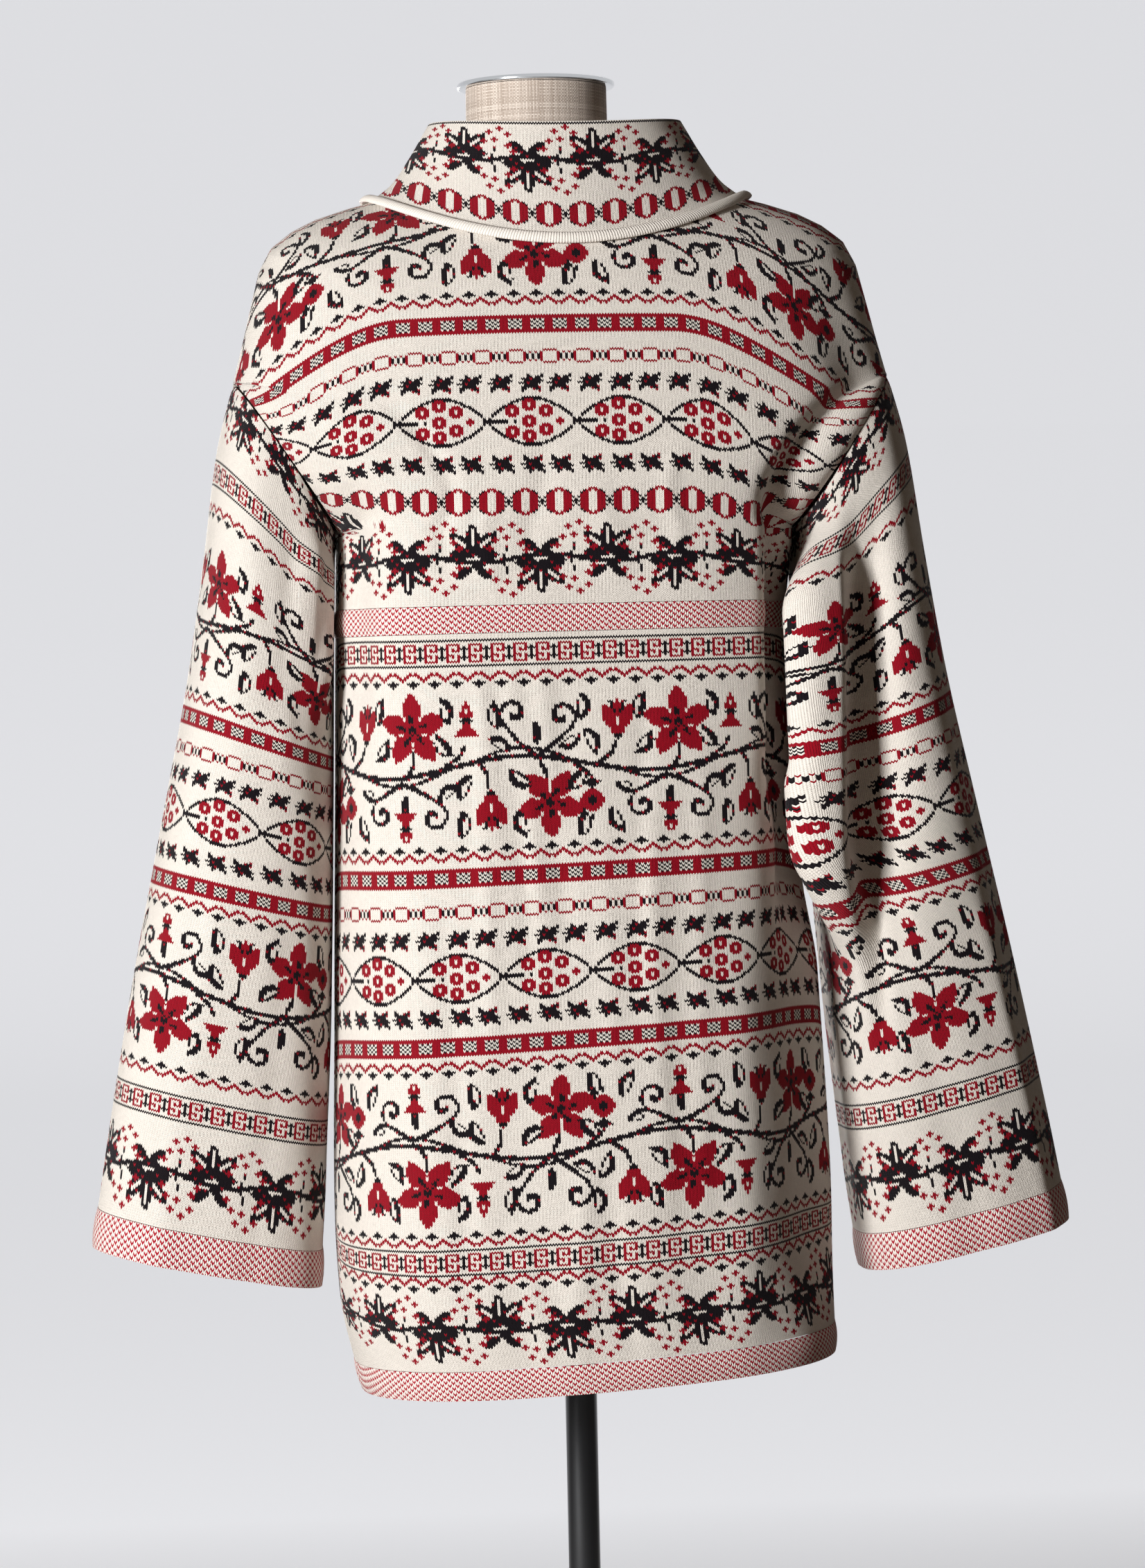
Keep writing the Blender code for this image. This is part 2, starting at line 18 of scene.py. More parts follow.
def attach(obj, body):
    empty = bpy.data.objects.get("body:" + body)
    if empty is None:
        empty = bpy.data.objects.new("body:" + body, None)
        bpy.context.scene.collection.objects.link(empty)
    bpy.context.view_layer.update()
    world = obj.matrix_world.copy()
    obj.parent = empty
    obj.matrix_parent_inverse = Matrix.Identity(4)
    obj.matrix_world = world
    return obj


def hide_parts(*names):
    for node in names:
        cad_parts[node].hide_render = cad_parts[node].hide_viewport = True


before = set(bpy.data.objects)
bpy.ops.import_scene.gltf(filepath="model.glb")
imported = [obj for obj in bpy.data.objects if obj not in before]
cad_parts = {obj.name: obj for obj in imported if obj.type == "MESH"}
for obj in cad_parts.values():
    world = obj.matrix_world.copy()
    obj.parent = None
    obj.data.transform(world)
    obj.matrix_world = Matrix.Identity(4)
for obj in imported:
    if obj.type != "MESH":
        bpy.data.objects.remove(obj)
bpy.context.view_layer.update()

bpy.ops.object.select_all(action="DESELECT")

# %% [markdown]
# ## Camera, light and floor
#
# The camera stands behind the cardigan, a little to its left, at the height of the waist. A longer lens
# than usual keeps the bands straight, as in a shop's product photograph. The picture is 1652 by 2263
# pixels, so the long side is the upright one, and Blender measures the lens against it.

# %% The camera
CAMERA_AZIMUTH = 175.0
CAMERA_DISTANCE = 3.2
CAMERA_HEIGHT = 1.03
CAMERA_ROLL = 1.2
LOOK_AT = Vector((-0.003, 0.0, 0.946))
PICTURE_HEIGHT = 1.1315  # metres that the picture shows from top to bottom, at the pole


def make_camera():
    turned = math.radians(CAMERA_AZIMUTH)
    place = Vector((math.sin(turned), -math.cos(turned), 0.0)) * CAMERA_DISTANCE
    place.z = CAMERA_HEIGHT
    bpy.ops.object.camera_add(location=place)
    camera = bpy.context.object
    camera.name = "photo_camera"
    aim = (LOOK_AT - place).to_track_quat("-Z", "Y").to_matrix().to_4x4()
    camera.rotation_euler = (aim @ Matrix.Rotation(math.radians(-CAMERA_ROLL), 4, "Z")).to_euler()
    camera.data.lens = camera.data.sensor_width * CAMERA_DISTANCE / PICTURE_HEIGHT
    bpy.context.scene.camera = camera
    return camera


camera = make_camera()
print("lens in mm:", round(camera.data.lens, 1))

# %% [markdown]
# Materials are made of nodes. One small helper adds a node, sets its options and links its inputs, and
# hands back the node's first output, so that calls can be nested like a sum. A second one turns a colour
# from the picture's sRGB hex value into the linear values that the shaders work with.

# %% Helpers for nodes and colours
def add(tree, kind, inputs=(), **options):
    """Adds a node, such as "Bump" or "Math ADD". Inputs come in the sockets' order, or in a dictionary."""
    kind, _, operation = kind.partition(" ")
    made = tree.nodes.new("ShaderNode" + kind)
    if operation:
        made.operation = operation
    for option, value in options.items():
        setattr(made, option, value)
    for key, value in inputs.items() if isinstance(inputs, dict) else enumerate(inputs):
        if isinstance(value, bpy.types.NodeSocket):
            tree.links.new(value, made.inputs[key])
        else:
            made.inputs[key].default_value = value
    return made.outputs[0] if made.outputs else made


def linear(hex_value):
    """Linear RGBA from a value such as "#C8102E"."""
    parts = [int(hex_value[k : k + 2], 16) / 255 for k in (1, 3, 5)]
    return (*(p / 12.92 if p <= 0.04045 else ((p + 0.055) / 1.055) ** 2.4 for p in parts), 1.0)


def new_material(name):
    material = bpy.data.materials.new(name)
    material.use_nodes = True
    material.node_tree.nodes.clear()
    return material, material.node_tree


# %% [markdown]
# The light comes from one big soft lamp on the left, as from a softbox. A weak narrow one lights the front,
# which faces away from it, and the room adds a little warm light from all round, so that shaded sides keep
# their colours.

# %% Light
KEY_POWER = 166.0
FRONT_POWER = 9.0
AMBIENT = 0.06  # what the room adds to soft surfaces
STUDIO_GREY = 0.76  # how bright the room looks


def soft_lamp(name, place, target, size, power, spread=180):
    bpy.ops.object.light_add(type="AREA", location=place)
    lamp = bpy.context.object
    lamp.name = name
    lamp.rotation_euler = (Vector(target) - Vector(place)).to_track_quat("-Z", "Y").to_euler()
    lamp.data.shape = "RECTANGLE"
    lamp.data.size = size
    lamp.data.size_y = size
    lamp.data.energy = power
    lamp.data.spread = math.radians(spread)


def make_world():
    world = bpy.data.worlds.new("studio_world")
    world.use_nodes = True
    tree = world.node_tree
    tree.nodes.clear()
    soft = add(tree, "LightPath").node.outputs["Is Diffuse Ray"]
    room = add(tree, "Background", {"Color": linear("#F4F5F7"), "Strength": STUDIO_GREY})
    ambient = add(tree, "Background", {"Color": linear("#FFE2C8"), "Strength": AMBIENT})
    add(tree, "OutputWorld", {"Surface": add(tree, "MixShader", (soft, room, ambient))})
    bpy.context.scene.world = world


soft_lamp("key_light", (2.4, 2.55, 1.35), (0.0, 0.0, 0.95), 0.8, KEY_POWER)
soft_lamp("front_light", (0.5, -3.4, 1.1), (0.0, 0.0, 1.05), 0.7, FRONT_POWER, spread=36)
make_world()
bpy.context.scene.view_settings.view_transform = "Standard"

# %% [markdown]
# The floor is a roll of pale grey paper that bends up into a wall without a corner, so no line shows behind
# the cardigan. The far part shines a little, as if a lamp of its own lit it. Soft surfaces see the paper
# dimmer than the camera does, so that the cardigan's shaded side stays shaded.

# %% Floor and backdrop
WALL_GLOW = 0.66
GLOW_START = -0.6  # where the glow starts on the floor, along Y
GLOW_FULL = -2.2
FLOOR_END = 8.0
SWEEP_DEPTH = 7.4
SWEEP_BEND = 1.4
SWEEP_HALF_WIDTH = 9.0
SWEEP_TOP = 7.0


def make_sweep():
    """A floor that bends up into a wall on the far side from the camera."""
    outline = [(FLOOR_END, 0.0), (-SWEEP_DEPTH, 0.0)]
    for turn in range(10, 91, 10):
        bend = math.radians(turn)
        outline.append((-SWEEP_DEPTH - SWEEP_BEND * math.sin(bend), SWEEP_BEND * (1 - math.cos(bend))))
    outline.append((-SWEEP_DEPTH - SWEEP_BEND, SWEEP_TOP))
    points = [(x, y, z) for y, z in outline for x in (-SWEEP_HALF_WIDTH, SWEEP_HALF_WIDTH)]
    faces = [(k, k + 1, k + 3, k + 2) for k in range(0, len(points) - 2, 2)]
    mesh = bpy.data.meshes.new("studio_sweep")
    mesh.from_pydata(points, [], faces)
    mesh.shade_smooth()
    sweep = bpy.data.objects.new("studio_sweep", mesh)
    bpy.context.scene.collection.objects.link(sweep)
    paper, tree = new_material("pale grey paper")
    place = add(tree, "TexCoord").node.outputs["Object"]
    along_y = add(tree, "SeparateXYZ", (place,)).node.outputs[1]
    back = add(tree, "MapRange", (along_y, GLOW_START, GLOW_FULL))
    glow = add(tree, "Math MULTIPLY", (back, WALL_GLOW))
    shader = add(tree, "BsdfPrincipled", {
        "Base Color": linear("#E6E7E9"), "Roughness": 1.0, "Emission Color": linear("#EEF0F5"),
        "Emission Strength": glow,
    })
    dim = add(tree, "BsdfDiffuse", {"Color": linear("#7A736B")})
    soft = add(tree, "LightPath").node.outputs["Is Diffuse Ray"]
    add(tree, "OutputMaterial", {"Surface": add(tree, "MixShader", (soft, shader, dim))})
    mesh.materials.append(paper)


make_sweep()

# %% [markdown]
# ## The shape of the cloth
#
# The cardigan is one surface from hem to collar, and one tube for each sleeve. Short tables give their
# sizes, and are the same as the CAD model's, so the cloth lies where its solids are. A level is the height
# of a ring of cloth at the centre back. An angle is 0 at the centre back, 90 at the left side and 180 at
# the front.

# %% Sizes of the cloth in metres
KNIT = 0.0025
BAND_KNIT = 0.0040
BAND_LIFT = 0.0008
SEAM = 0.0003
HALF_SEAM = SEAM / 2
SIDE_CLEARANCE = BAND_LIFT + 0.0005
HEM = 0.524
HEM_BAND_TOP = 0.545
WELT_LOW = 1.0555
WELT_HIGH = 1.0745
UNDERARM = 1.128
SHOULDER = 1.205
COLLAR_SEAM = 1.329
COLLAR_RIM = 1.414
COLLAR_BOXINESS = 2.0
FRONT_BAND_WIDTH = 0.020
FRONT_EDGE = FRONT_BAND_WIDTH + SEAM
CUFF_BAND_HEIGHT = 0.022
SLEEVE_ROUND = 0.470
SLEEVE_BOXINESS = 2.4
ROUND_PER_ELLIPSE = 1.035
ARMHOLE_START = 0.003
RIGHT_SLEEVE_SPREAD = 0.009
COLLAR_WELT_HEIGHT = 0.0084
COLLAR_WELT_THICKNESS = 0.0044
WELT_CLEARANCE = BAND_LIFT + 0.0008
WELT_END_GAP = 0.0012
DROOP = 0.055
DROOP_LENGTH = 0.40
SIDE_SEAM_TURN = 0.001

BODY_COLUMNS = ("level", "centre_x", "half_width", "back", "front", "boxiness")
BODY_ROWS = (
    (0.524, -0.013, 0.1715, 0.122, 0.120, 2.4),
    (0.590, -0.006, 0.1785, 0.124, 0.122, 2.4),
    (0.640, -0.005, 0.1800, 0.125, 0.123, 2.4),
    (0.800, -0.003, 0.1750, 0.124, 0.123, 2.5),
    (0.950, -0.001, 0.1690, 0.121, 0.124, 2.8),
    (1.065, 0.0, 0.1650, 0.119, 0.125, 3.2),
    (1.128, 0.0, 0.1630, 0.120, 0.126, 3.4),
)
YOKE_COLUMNS = ("level", "back", "front", "front_height", "boxiness")
YOKE_ROWS = (
    (1.128, 0.120, 0.126, 1.128, 3.4),
    (1.165, 0.121, 0.127, 1.160, 3.0),
    (1.205, 0.119, 0.124, 1.193, 2.7),
    (1.260, 0.112, 0.116, 1.237, 2.4),
    (1.300, 0.102, 0.107, 1.268, 2.2),
    (1.329, 0.092, 0.099, 1.290, 2.0),
)
SHOULDER_SEAM_ROWS = (
    (0.2350, 1.2375),
    (0.2285, 1.2620),
    (0.2220, 1.2885),
    (0.2150, 1.3165),
    (0.2060, 1.3335),
    (0.1910, 1.3450),
    (0.1740, 1.3535),
    (0.1510, 1.3610),
    (0.1360, 1.3650),
)
COLLAR_COLUMNS = ("level", "side_x", "side_height", "back", "front", "front_height")
COLLAR_ROWS = (
    (1.329, 0.1360, 1.365, 0.092, 0.099, 1.290),
    (1.350, 0.1190, 1.378, 0.086, 0.093, 1.311),
    (1.378, 0.1060, 1.396, 0.079, 0.086, 1.338),
    (1.414, 0.0910, 1.421, 0.073, 0.080, 1.374),
)
# angle, low, high, width, inwards, backwards
RIGHT_PLEAT_ROWS = ((140, 0.02, 0.66, 22, 0.028, 0.034),)
SLEEVE_COLUMNS = ("share", "outer_x", "outer_z", "inner_z", "spread")
SLEEVE_ROWS = (
    (0.00, 0.2350, 1.2375, 1.128, 0.0000),
    (0.08, 0.2475, 1.1890, 1.098, 0.0000),
    (0.21, 0.2590, 1.1100, 1.045, 0.0000),
    (0.35, 0.2720, 1.0280, 0.985, 0.0000),
    (0.53, 0.2940, 0.9205, 0.888, 0.0000),
    (0.71, 0.3160, 0.8130, 0.779, 0.0010),
    (0.90, 0.3365, 0.7000, 0.664, 0.0050),
    (1.00, 0.3490, 0.6235, 0.590, 0.0120),
)

# %% [markdown]
# The tables are read on smooth curves that never overshoot their rows. These are the same sums as the CAD
# model's, kept here because this script stands alone.

# %% Reading the tables
def read(columns, rows, name, at):
    """The named column where the first column is at, on a smooth curve that doesn't overshoot its rows."""
    index = columns.index(name)
    steps = [row[0] for row in rows]
    values = [row[index] for row in rows]
    at = min(max(at, steps[0]), steps[-1])
    i = max(k for k in range(len(steps) - 1) if steps[k] <= at)
    slopes = [(values[k + 1] - values[k]) / (steps[k + 1] - steps[k]) for k in range(len(steps) - 1)]

    def tangent(k):
        if k in (0, len(steps) - 1):
            return slopes[min(k, len(slopes) - 1)]
        before, after = slopes[k - 1], slopes[k]
        return 0.0 if before * after <= 0 else 2 * before * after / (before + after)

    width = steps[i + 1] - steps[i]
    t = (at - steps[i]) / width
    return (
        values[i] * (1 + 2 * t) * (1 - t) ** 2
        + tangent(i) * width * t * (1 - t) ** 2
        + values[i + 1] * t * t * (3 - 2 * t)
        + tangent(i + 1) * width * t * t * (t - 1)
    )


def along(points, share):
    """The point this share of the way along a polyline."""
    lengths = [math.dist(a, b) for a, b in zip(points, points[1:])]
    left = share * sum(lengths)
    for a, b, length in zip(points, points[1:], lengths):
        if left <= length or b is points[-1]:
            return [p + (q - p) * left / length for p, q in zip(a, b)]
        left -= length


def ramp(value, low, high):
    t = np.clip((value - low) / (high - low), 0.0, 1.0)
    return t * t * (3 - 2 * t)


def bell(distance, width):
    return np.exp(-((distance / width) ** 2))


def window(value, low, high):
    """1 between low and high, fading to 0 over a quarter of the stretch at each end."""
    fade = (high - low) / 4
    return ramp(value, low, low + fade) * (1 - ramp(value, high - fade, high))


def turn_between(a, b):
    """The angle from a to b in degrees, from -180 to 180."""
    return (b - a + 180) % 360 - 180


# %% [markdown]
# A sleeve is a tube of rings. Each ring is a superellipse, a circle drawn out towards a rounded box,
# because that is how soft cloth hangs. Its width comes from the table, and its depth from the length all
# round, which stays the same from the armhole to the cuff.

# %% The sleeves' tubes
def body_side(level, right):
    centre = read(BODY_COLUMNS, BODY_ROWS, "centre_x", level)
    return read(BODY_COLUMNS, BODY_ROWS, "half_width", level) + (-centre if right else centre)


@lru_cache(maxsize=None)
def sleeve_frame(share, right):
    """The ring's centre, its reach to the outer edge, and half its depth, always as if on the left side."""
    outer_x, outer_z, inner_z, away = (
        read(SLEEVE_COLUMNS, SLEEVE_ROWS, name, share) for name in SLEEVE_COLUMNS[1:]
    )
    wider = RIGHT_SLEEVE_SPREAD * share**2 if right else 0.0
    inner_x = body_side(inner_z, right) + SIDE_CLEARANCE * float(ramp(share, 0.0, 0.05)) + away + wider
    outer, inner = Vector((outer_x + wider, 0.0, outer_z)), Vector((inner_x, 0.0, inner_z))
    reach = (outer - inner) / 2
    mean_radius = SLEEVE_ROUND / (2 * math.pi) / ROUND_PER_ELLIPSE
    return (outer + inner) / 2, reach, math.sqrt(2 * mean_radius**2 - reach.length_squared)


def sleeve_ring(share, angle, right):
    """A point of the tube: angle is 0 at the outer edge, 90 at the back and 180 against the body."""
    centre, reach, depth = sleeve_frame(share, right)
    c, s = math.cos(math.radians(angle)), math.sin(math.radians(angle))
    power = 2 / SLEEVE_BOXINESS
    across, deep = math.copysign(abs(c) ** power, c), math.copysign(abs(s) ** power, s)
    return centre + reach * across + Vector((0.0, depth * deep, 0.0))


# %% [markdown]
# The body's rings are superellipses as well. From the underarm to the shoulder they end on the armhole, and
# above it on the shoulder seam, so the yoke and the sleeves share one line. The hem hangs lower on the
# left.

# %% The cloth from hem to collar
def pleated(share, angle, right):
    """A point of the tube with the right sleeve's pleat."""
    point = sleeve_ring(share, angle, right)
    for where, low, high, width, inwards, backwards in RIGHT_PLEAT_ROWS if right else ():
        moved = float(bell(turn_between(where, angle), width) * window(share, low, high))
        point += Vector((-inwards, backwards, 0.0)) * moved
    return point


def armhole_angle(level):
    return 180 * (1 - (level - UNDERARM) / (SHOULDER - UNDERARM))


@lru_cache(maxsize=None)
def cloth_ring(level, right):
    """Half a ring: centre_x, its side's end, (depth, height) of its middle at back and front, boxiness."""
    if level <= UNDERARM:
        centre, half_width, back, front, boxiness = (
            read(BODY_COLUMNS, BODY_ROWS, name, level) for name in BODY_COLUMNS[1:]
        )
        return centre, (half_width, 0.0, level), (back, level), (front, level), boxiness
    if level <= COLLAR_SEAM:
        back, front, front_height, boxiness = (
            read(YOKE_COLUMNS, YOKE_ROWS, name, level) for name in YOKE_COLUMNS[1:]
        )
        if level <= SHOULDER:
            side = tuple(sleeve_ring(0.0, armhole_angle(level), right))
        else:
            x, z = along(SHOULDER_SEAM_ROWS, (level - SHOULDER) / (COLLAR_SEAM - SHOULDER))
            side = (x, 0.0, z)
        return 0.0, side, (back, level), (front, front_height), boxiness
    side_x, side_z, back, front, front_height = (
        read(COLLAR_COLUMNS, COLLAR_ROWS, name, level) for name in COLLAR_COLUMNS[1:]
    )
    return 0.0, (side_x, 0.0, side_z), (back, level), (front, front_height), COLLAR_BOXINESS


@lru_cache(maxsize=None)
def quarter(level, right, at_back):
    """The superellipse of a quarter of the ring: half width, depth, power and the angle where it ends."""
    _, side, back, front, boxiness = cloth_ring(level, right)
    depth = (back if at_back else front)[0]
    share = max(side[1], HALF_SEAM) / depth
    half_width = side[0] / (1 - share**boxiness) ** (1 / boxiness)
    return half_width, depth, 2 / boxiness, math.acos(share ** (boxiness / 2))


def droop(level):
    """How steeply the rows hang down towards the wearer's left."""
    return DROOP * float(ramp(UNDERARM - level, 0.0, DROOP_LENGTH))


def cloth_point(level, angle):
    """The cloth's outer surface, without its folds."""
    right, at_back = angle < 0, abs(angle) <= 90
    centre, side, back, front, _ = cloth_ring(level, right)
    half_width, depth, power, last = quarter(level, right, at_back)
    turned = (abs(angle) if at_back else 180 - abs(angle)) / 90 * last
    x = half_width * math.sin(turned) ** power
    y = depth * max(math.cos(turned), 0.0) ** power * (1 if at_back else -1)
    middle_z = (back if at_back else front)[1]
    z = middle_z + (side[2] - middle_z) * (x / side[0]) ** 2
    x = centre + (-x if right else x)
    return x, y, z - x * droop(level)


def cloth_normal(level, angle):
    """Outwards, without the folds. The steps round the ring stay on the back or on one front."""
    near, far = angle - 0.5, angle + 0.5
    if abs(angle) <= 90:
        near, far = max(near, -90), min(far, 90)
    up = Vector(cloth_point(level + 0.003, angle)) - Vector(cloth_point(level - 0.003, angle))
    return up.cross(Vector(cloth_point(level, far)) - Vector(cloth_point(level, near))).normalized()


def sleeve_normal(angle, right):
    """Outwards at the top of the sleeve, always as if on the left side."""
    turn = sleeve_ring(0.0, angle + 1, right) - sleeve_ring(0.0, angle - 1, right)
    down = sleeve_ring(0.01, angle, right) - sleeve_ring(0.0, angle, right)
    return turn.cross(down).normalized() * -1


def mitre(own, other):
    """The direction halfway between two walls that meet at a seam, or one's own where they fold back."""
    return (own + other * float(ramp(own.dot(other), 0.0, 0.5))).normalized()


def mirrored(vector, right):
    return Vector((-vector.x, vector.y, vector.z)) if right else vector


def angle_at_x(level, x):
    """The angle on a front at which the ring is this far from its own middle."""
    half_width, _, power, last = quarter(level, x < 0, False)
    turned = math.asin((abs(x) / half_width) ** (1 / power))
    return math.copysign(180 - 90 * math.degrees(turned) / math.degrees(last), x)


# %% [markdown]
# ## Folds
#
# Knitted wool falls in soft troughs and ridges. Each row of these tables is one of them, placed where the
# cardigan shows it, and a few like them on the sides that no picture shows. A row says at which angle the
# fold starts, how far it drifts on its way, where it begins and ends, and how wide and high it is. A height
# below zero goes in. They all differ a little, because equal ripples look machine-made.

# %% Folds of the body
# angle, drift, low, high, width, height
BODY_FOLD_ROWS = (
    (-46, 0, 0.93, 1.22, 9, 0.004),
    (-63, 0, 0.90, 1.24, 11, -0.011),
    (-72, 0, 0.80, 1.13, 17, -0.018),
    (-60, 0, 0.53, 0.93, 17, -0.011),
    (-58, 2, 0.84, 1.32, 15, -0.009),
    (-30, 0, 0.50, 0.86, 8, 0.004),
    (-8, 0, 0.50, 0.98, 7, 0.003),
    (14, 0, 0.50, 0.80, 7, -0.003),
    (38, 0, 0.50, 0.92, 9, 0.003),
    (62, 0, 0.95, 1.20, 10, -0.005),
    (138, 0, 0.50, 0.90, 8, 0.004),
    (156, 0, 0.56, 1.02, 7, -0.003),
    (-142, 0, 0.50, 0.94, 9, 0.004),
    (-158, 0, 0.60, 1.00, 7, -0.003),
)
FINE_BODY_FOLD_ROWS = (
    (1.2, 3, 0.86, 1.05, 1.7, 0.0019),
    (3.4, -2, 0.80, 1.04, 1.7, -0.0017),
    (7.0, 2, 0.84, 1.06, 1.7, 0.0020),
    (10.5, -3, 0.78, 1.05, 1.7, -0.0015),
    (14.0, 2, 0.87, 1.05, 1.8, 0.0017),
    (19.0, -2, 0.74, 1.04, 2.2, 0.0020),
    (-2.6, 2, 0.70, 1.03, 1.7, 0.0015),
    (-6.2, -2, 0.76, 1.05, 1.7, -0.0015),
    (-12.0, 3, 0.62, 0.95, 2.2, 0.0017),
    (-19.0, -3, 0.58, 1.00, 2.7, 0.0020),
    (26.0, 4, 0.55, 0.90, 3.0, -0.0020),
    (5.0, -5, 0.53, 0.72, 2.2, 0.0020),
    (-4.0, 4, 0.53, 0.70, 1.9, -0.0017),
    (10.0, 5, 0.53, 0.66, 2.0, 0.0015),
    (-3.0, 2, 1.08, 1.17, 1.7, 0.0017),
    (4.6, -2, 1.08, 1.20, 1.7, -0.0015),
    (11.0, 2, 1.08, 1.15, 2.0, 0.0017),
    (-13.0, -2, 1.08, 1.19, 2.4, 0.0017),
    (22.0, 4, 1.08, 1.22, 3.0, -0.0024),
    (150.0, 3, 0.70, 1.04, 2.4, 0.0019),
    (160.0, -3, 0.64, 1.00, 2.2, -0.0017),
    (-148.0, 3, 0.66, 1.04, 2.6, 0.0020),
    (-163.0, -3, 0.72, 1.02, 2.0, -0.0015),
    (128.0, 4, 0.80, 1.10, 3.0, 0.0024),
    (-126.0, -4, 0.74, 1.08, 3.0, -0.0024),
)


def body_fold(level, angle):
    """How far the cloth stands out at this level, for an array of angles."""
    total = np.zeros_like(angle)
    for where, drift, low, high, width, height in (*BODY_FOLD_ROWS, *FINE_BODY_FOLD_ROWS):
        middle = where + drift * (level - low) / (high - low)
        total += height * bell(turn_between(middle, angle), width) * window(level, low, high)
    return total


# %% Folds of the sleeves
# angle, drift, low, high, width, height
RIGHT_SLEEVE_FOLD_ROWS = (
    (116, 34, 0.02, 0.72, 13, 0.016),
    (88, 40, 0.05, 0.66, 15, -0.014),
    (236, -20, 0.03, 0.55, 14, 0.008),
)
FINE_RIGHT_SLEEVE_FOLD_ROWS = (
    (106, 36, 0.02, 0.80, 5.5, 0.0075),
    (94, 38, 0.04, 0.80, 6, -0.0090),
    (82, 38, 0.04, 0.80, 9, -0.0040),
    (146, 60, 0.33, 0.50, 7, -0.0110),
    (128, 40, 0.40, 0.56, 8, 0.0050),
    (40, -14, 0.30, 0.96, 10, -0.0022),
    (68, -20, 0.55, 1.20, 9, 0.0024),
    (120, -30, 0.62, 1.20, 8, -0.0020),
    (300, 24, 0.20, 0.90, 9, 0.0026),
    (264, 20, 0.40, 1.20, 8, -0.0024),
    (215, -26, 0.30, 1.10, 8, 0.0022),
)
LEFT_SLEEVE_FOLD_ROWS = (
    (128, 18, 0.02, 0.34, 14, 0.006),
    (100, 22, 0.04, 0.40, 14, -0.005),
    (240, -24, 0.03, 0.50, 14, 0.008),
)
FINE_LEFT_SLEEVE_FOLD_ROWS = (
    (150, -24, 0.02, 0.30, 7, 0.0030),
    (136, -30, 0.03, 0.34, 6, -0.0030),
    (118, -34, 0.04, 0.46, 8, 0.0022),
    (60, 10, 0.30, 0.90, 10, -0.0016),
    (84, -16, 0.52, 1.20, 9, 0.0018),
    (128, -20, 0.50, 1.20, 8, -0.0016),
    (296, 26, 0.24, 0.96, 9, 0.0024),
    (262, 18, 0.38, 1.20, 8, -0.0022),
    (212, -22, 0.28, 1.10, 8, 0.0020),
)


def sleeve_fold(share, angle, right):
    folds = (
        (*RIGHT_SLEEVE_FOLD_ROWS, *FINE_RIGHT_SLEEVE_FOLD_ROWS)
        if right
        else (*LEFT_SLEEVE_FOLD_ROWS, *FINE_LEFT_SLEEVE_FOLD_ROWS)
    )
    total = np.zeros_like(angle)
    for where, drift, low, high, width, height in folds:
        total += height * bell(turn_between(where + drift * share, angle), width) * window(share, low, high)
    return total


# %% [markdown]
# ## Cloth as a thin wall
#
# Each piece is a grid of points on the surface, with columns an equal length of cloth apart. The grid is
# moved out along its normals by the folds, and a second grid lies one cloth thickness further in. Faces
# join the two into one closed wall. While the grid is made, a UV map is too: U counts stitches across
# (wales) and V counts rows of stitches (courses), so that the pattern can be knitted into the cloth by its
# material.

# %% Gauge and spacing
WALE = 0.00195  # width of one stitch
COURSE = 0.00145  # height of one row of stitches
CLOTH_STEP = 0.0042  # distance between the grid's rows
SAMPLES_PER_COLUMN = 8
END_EASE = 1.6  # gathers samples at both ends, where a ring turns fastest
UPRIGHT = 0.05  # keeps the hang upright where the cloth faces a side
SEAM_REACH = 0.9  # how many columns or rows beside a seam dip with it


def even_shares(start, end, points, count):
    """Parameters from start to end at which count + 1 points lie an equal length apart on the curve."""
    samples = np.linspace(0.0, 1.0, SAMPLES_PER_COLUMN * count + 1)
    eased = samples**END_EASE / (samples**END_EASE + (1 - samples) ** END_EASE)
    parameters = start + (end - start) * eased
    places = np.array([points(p) for p in parameters])
    lengths = np.concatenate([[0.0], np.cumsum(np.linalg.norm(np.diff(places, axis=0), axis=1))])
    wanted = np.linspace(0.0, lengths[-1], count + 1)
    return np.interp(wanted, lengths, parameters)


def grid_normals(points, closed=False):
    """Unit normals of a grid of points, outwards when its columns run anticlockwise from above."""
    if closed:
        wide = np.concatenate([points[:, -1:], points, points[:, :1]], axis=1)
        across = wide[:, 2:] - wide[:, :-2]
    else:
        across = np.gradient(points, axis=1)
    up = np.gradient(points, axis=0)
    normals = np.cross(across, up)
    return normals / np.linalg.norm(normals, axis=2, keepdims=True)


def stitch_map(points, normals, middle):
    """Wales and courses at each grid point, counted from the foot of the middle column.

    Wales hang in upright planes that face the wearer, so the courses droop where the shoulder slopes."""
    climb = np.linalg.norm(np.diff(points[:, middle], axis=0), axis=1)
    start = np.concatenate([[0.0], np.cumsum(climb)])
    hang = np.zeros_like(points)
    hang[..., 1] = -normals[..., 2] * np.sign(normals[..., 1])
    hang[..., 2] = np.abs(normals[..., 1]) + UPRIGHT
    hang -= normals * np.sum(hang * normals, axis=2, keepdims=True)
    hang /= np.linalg.norm(hang, axis=2, keepdims=True)
    row = np.cross(hang, normals)
    steps = np.diff(points, axis=1)
    wales = np.zeros(points.shape[:2])
    courses = np.zeros(points.shape[:2])
    for total, way, gauge in ((wales, row, WALE), (courses, hang, COURSE)):
        mean_way = (way[:, 1:] + way[:, :-1]) / 2
        step = np.sum(steps * mean_way, axis=2) / gauge
        summed = np.concatenate([np.zeros((len(points), 1)), np.cumsum(step, axis=1)], axis=1)
        total += summed - summed[:, middle : middle + 1]
    return np.stack([wales, courses + start[:, None] / COURSE], axis=2)


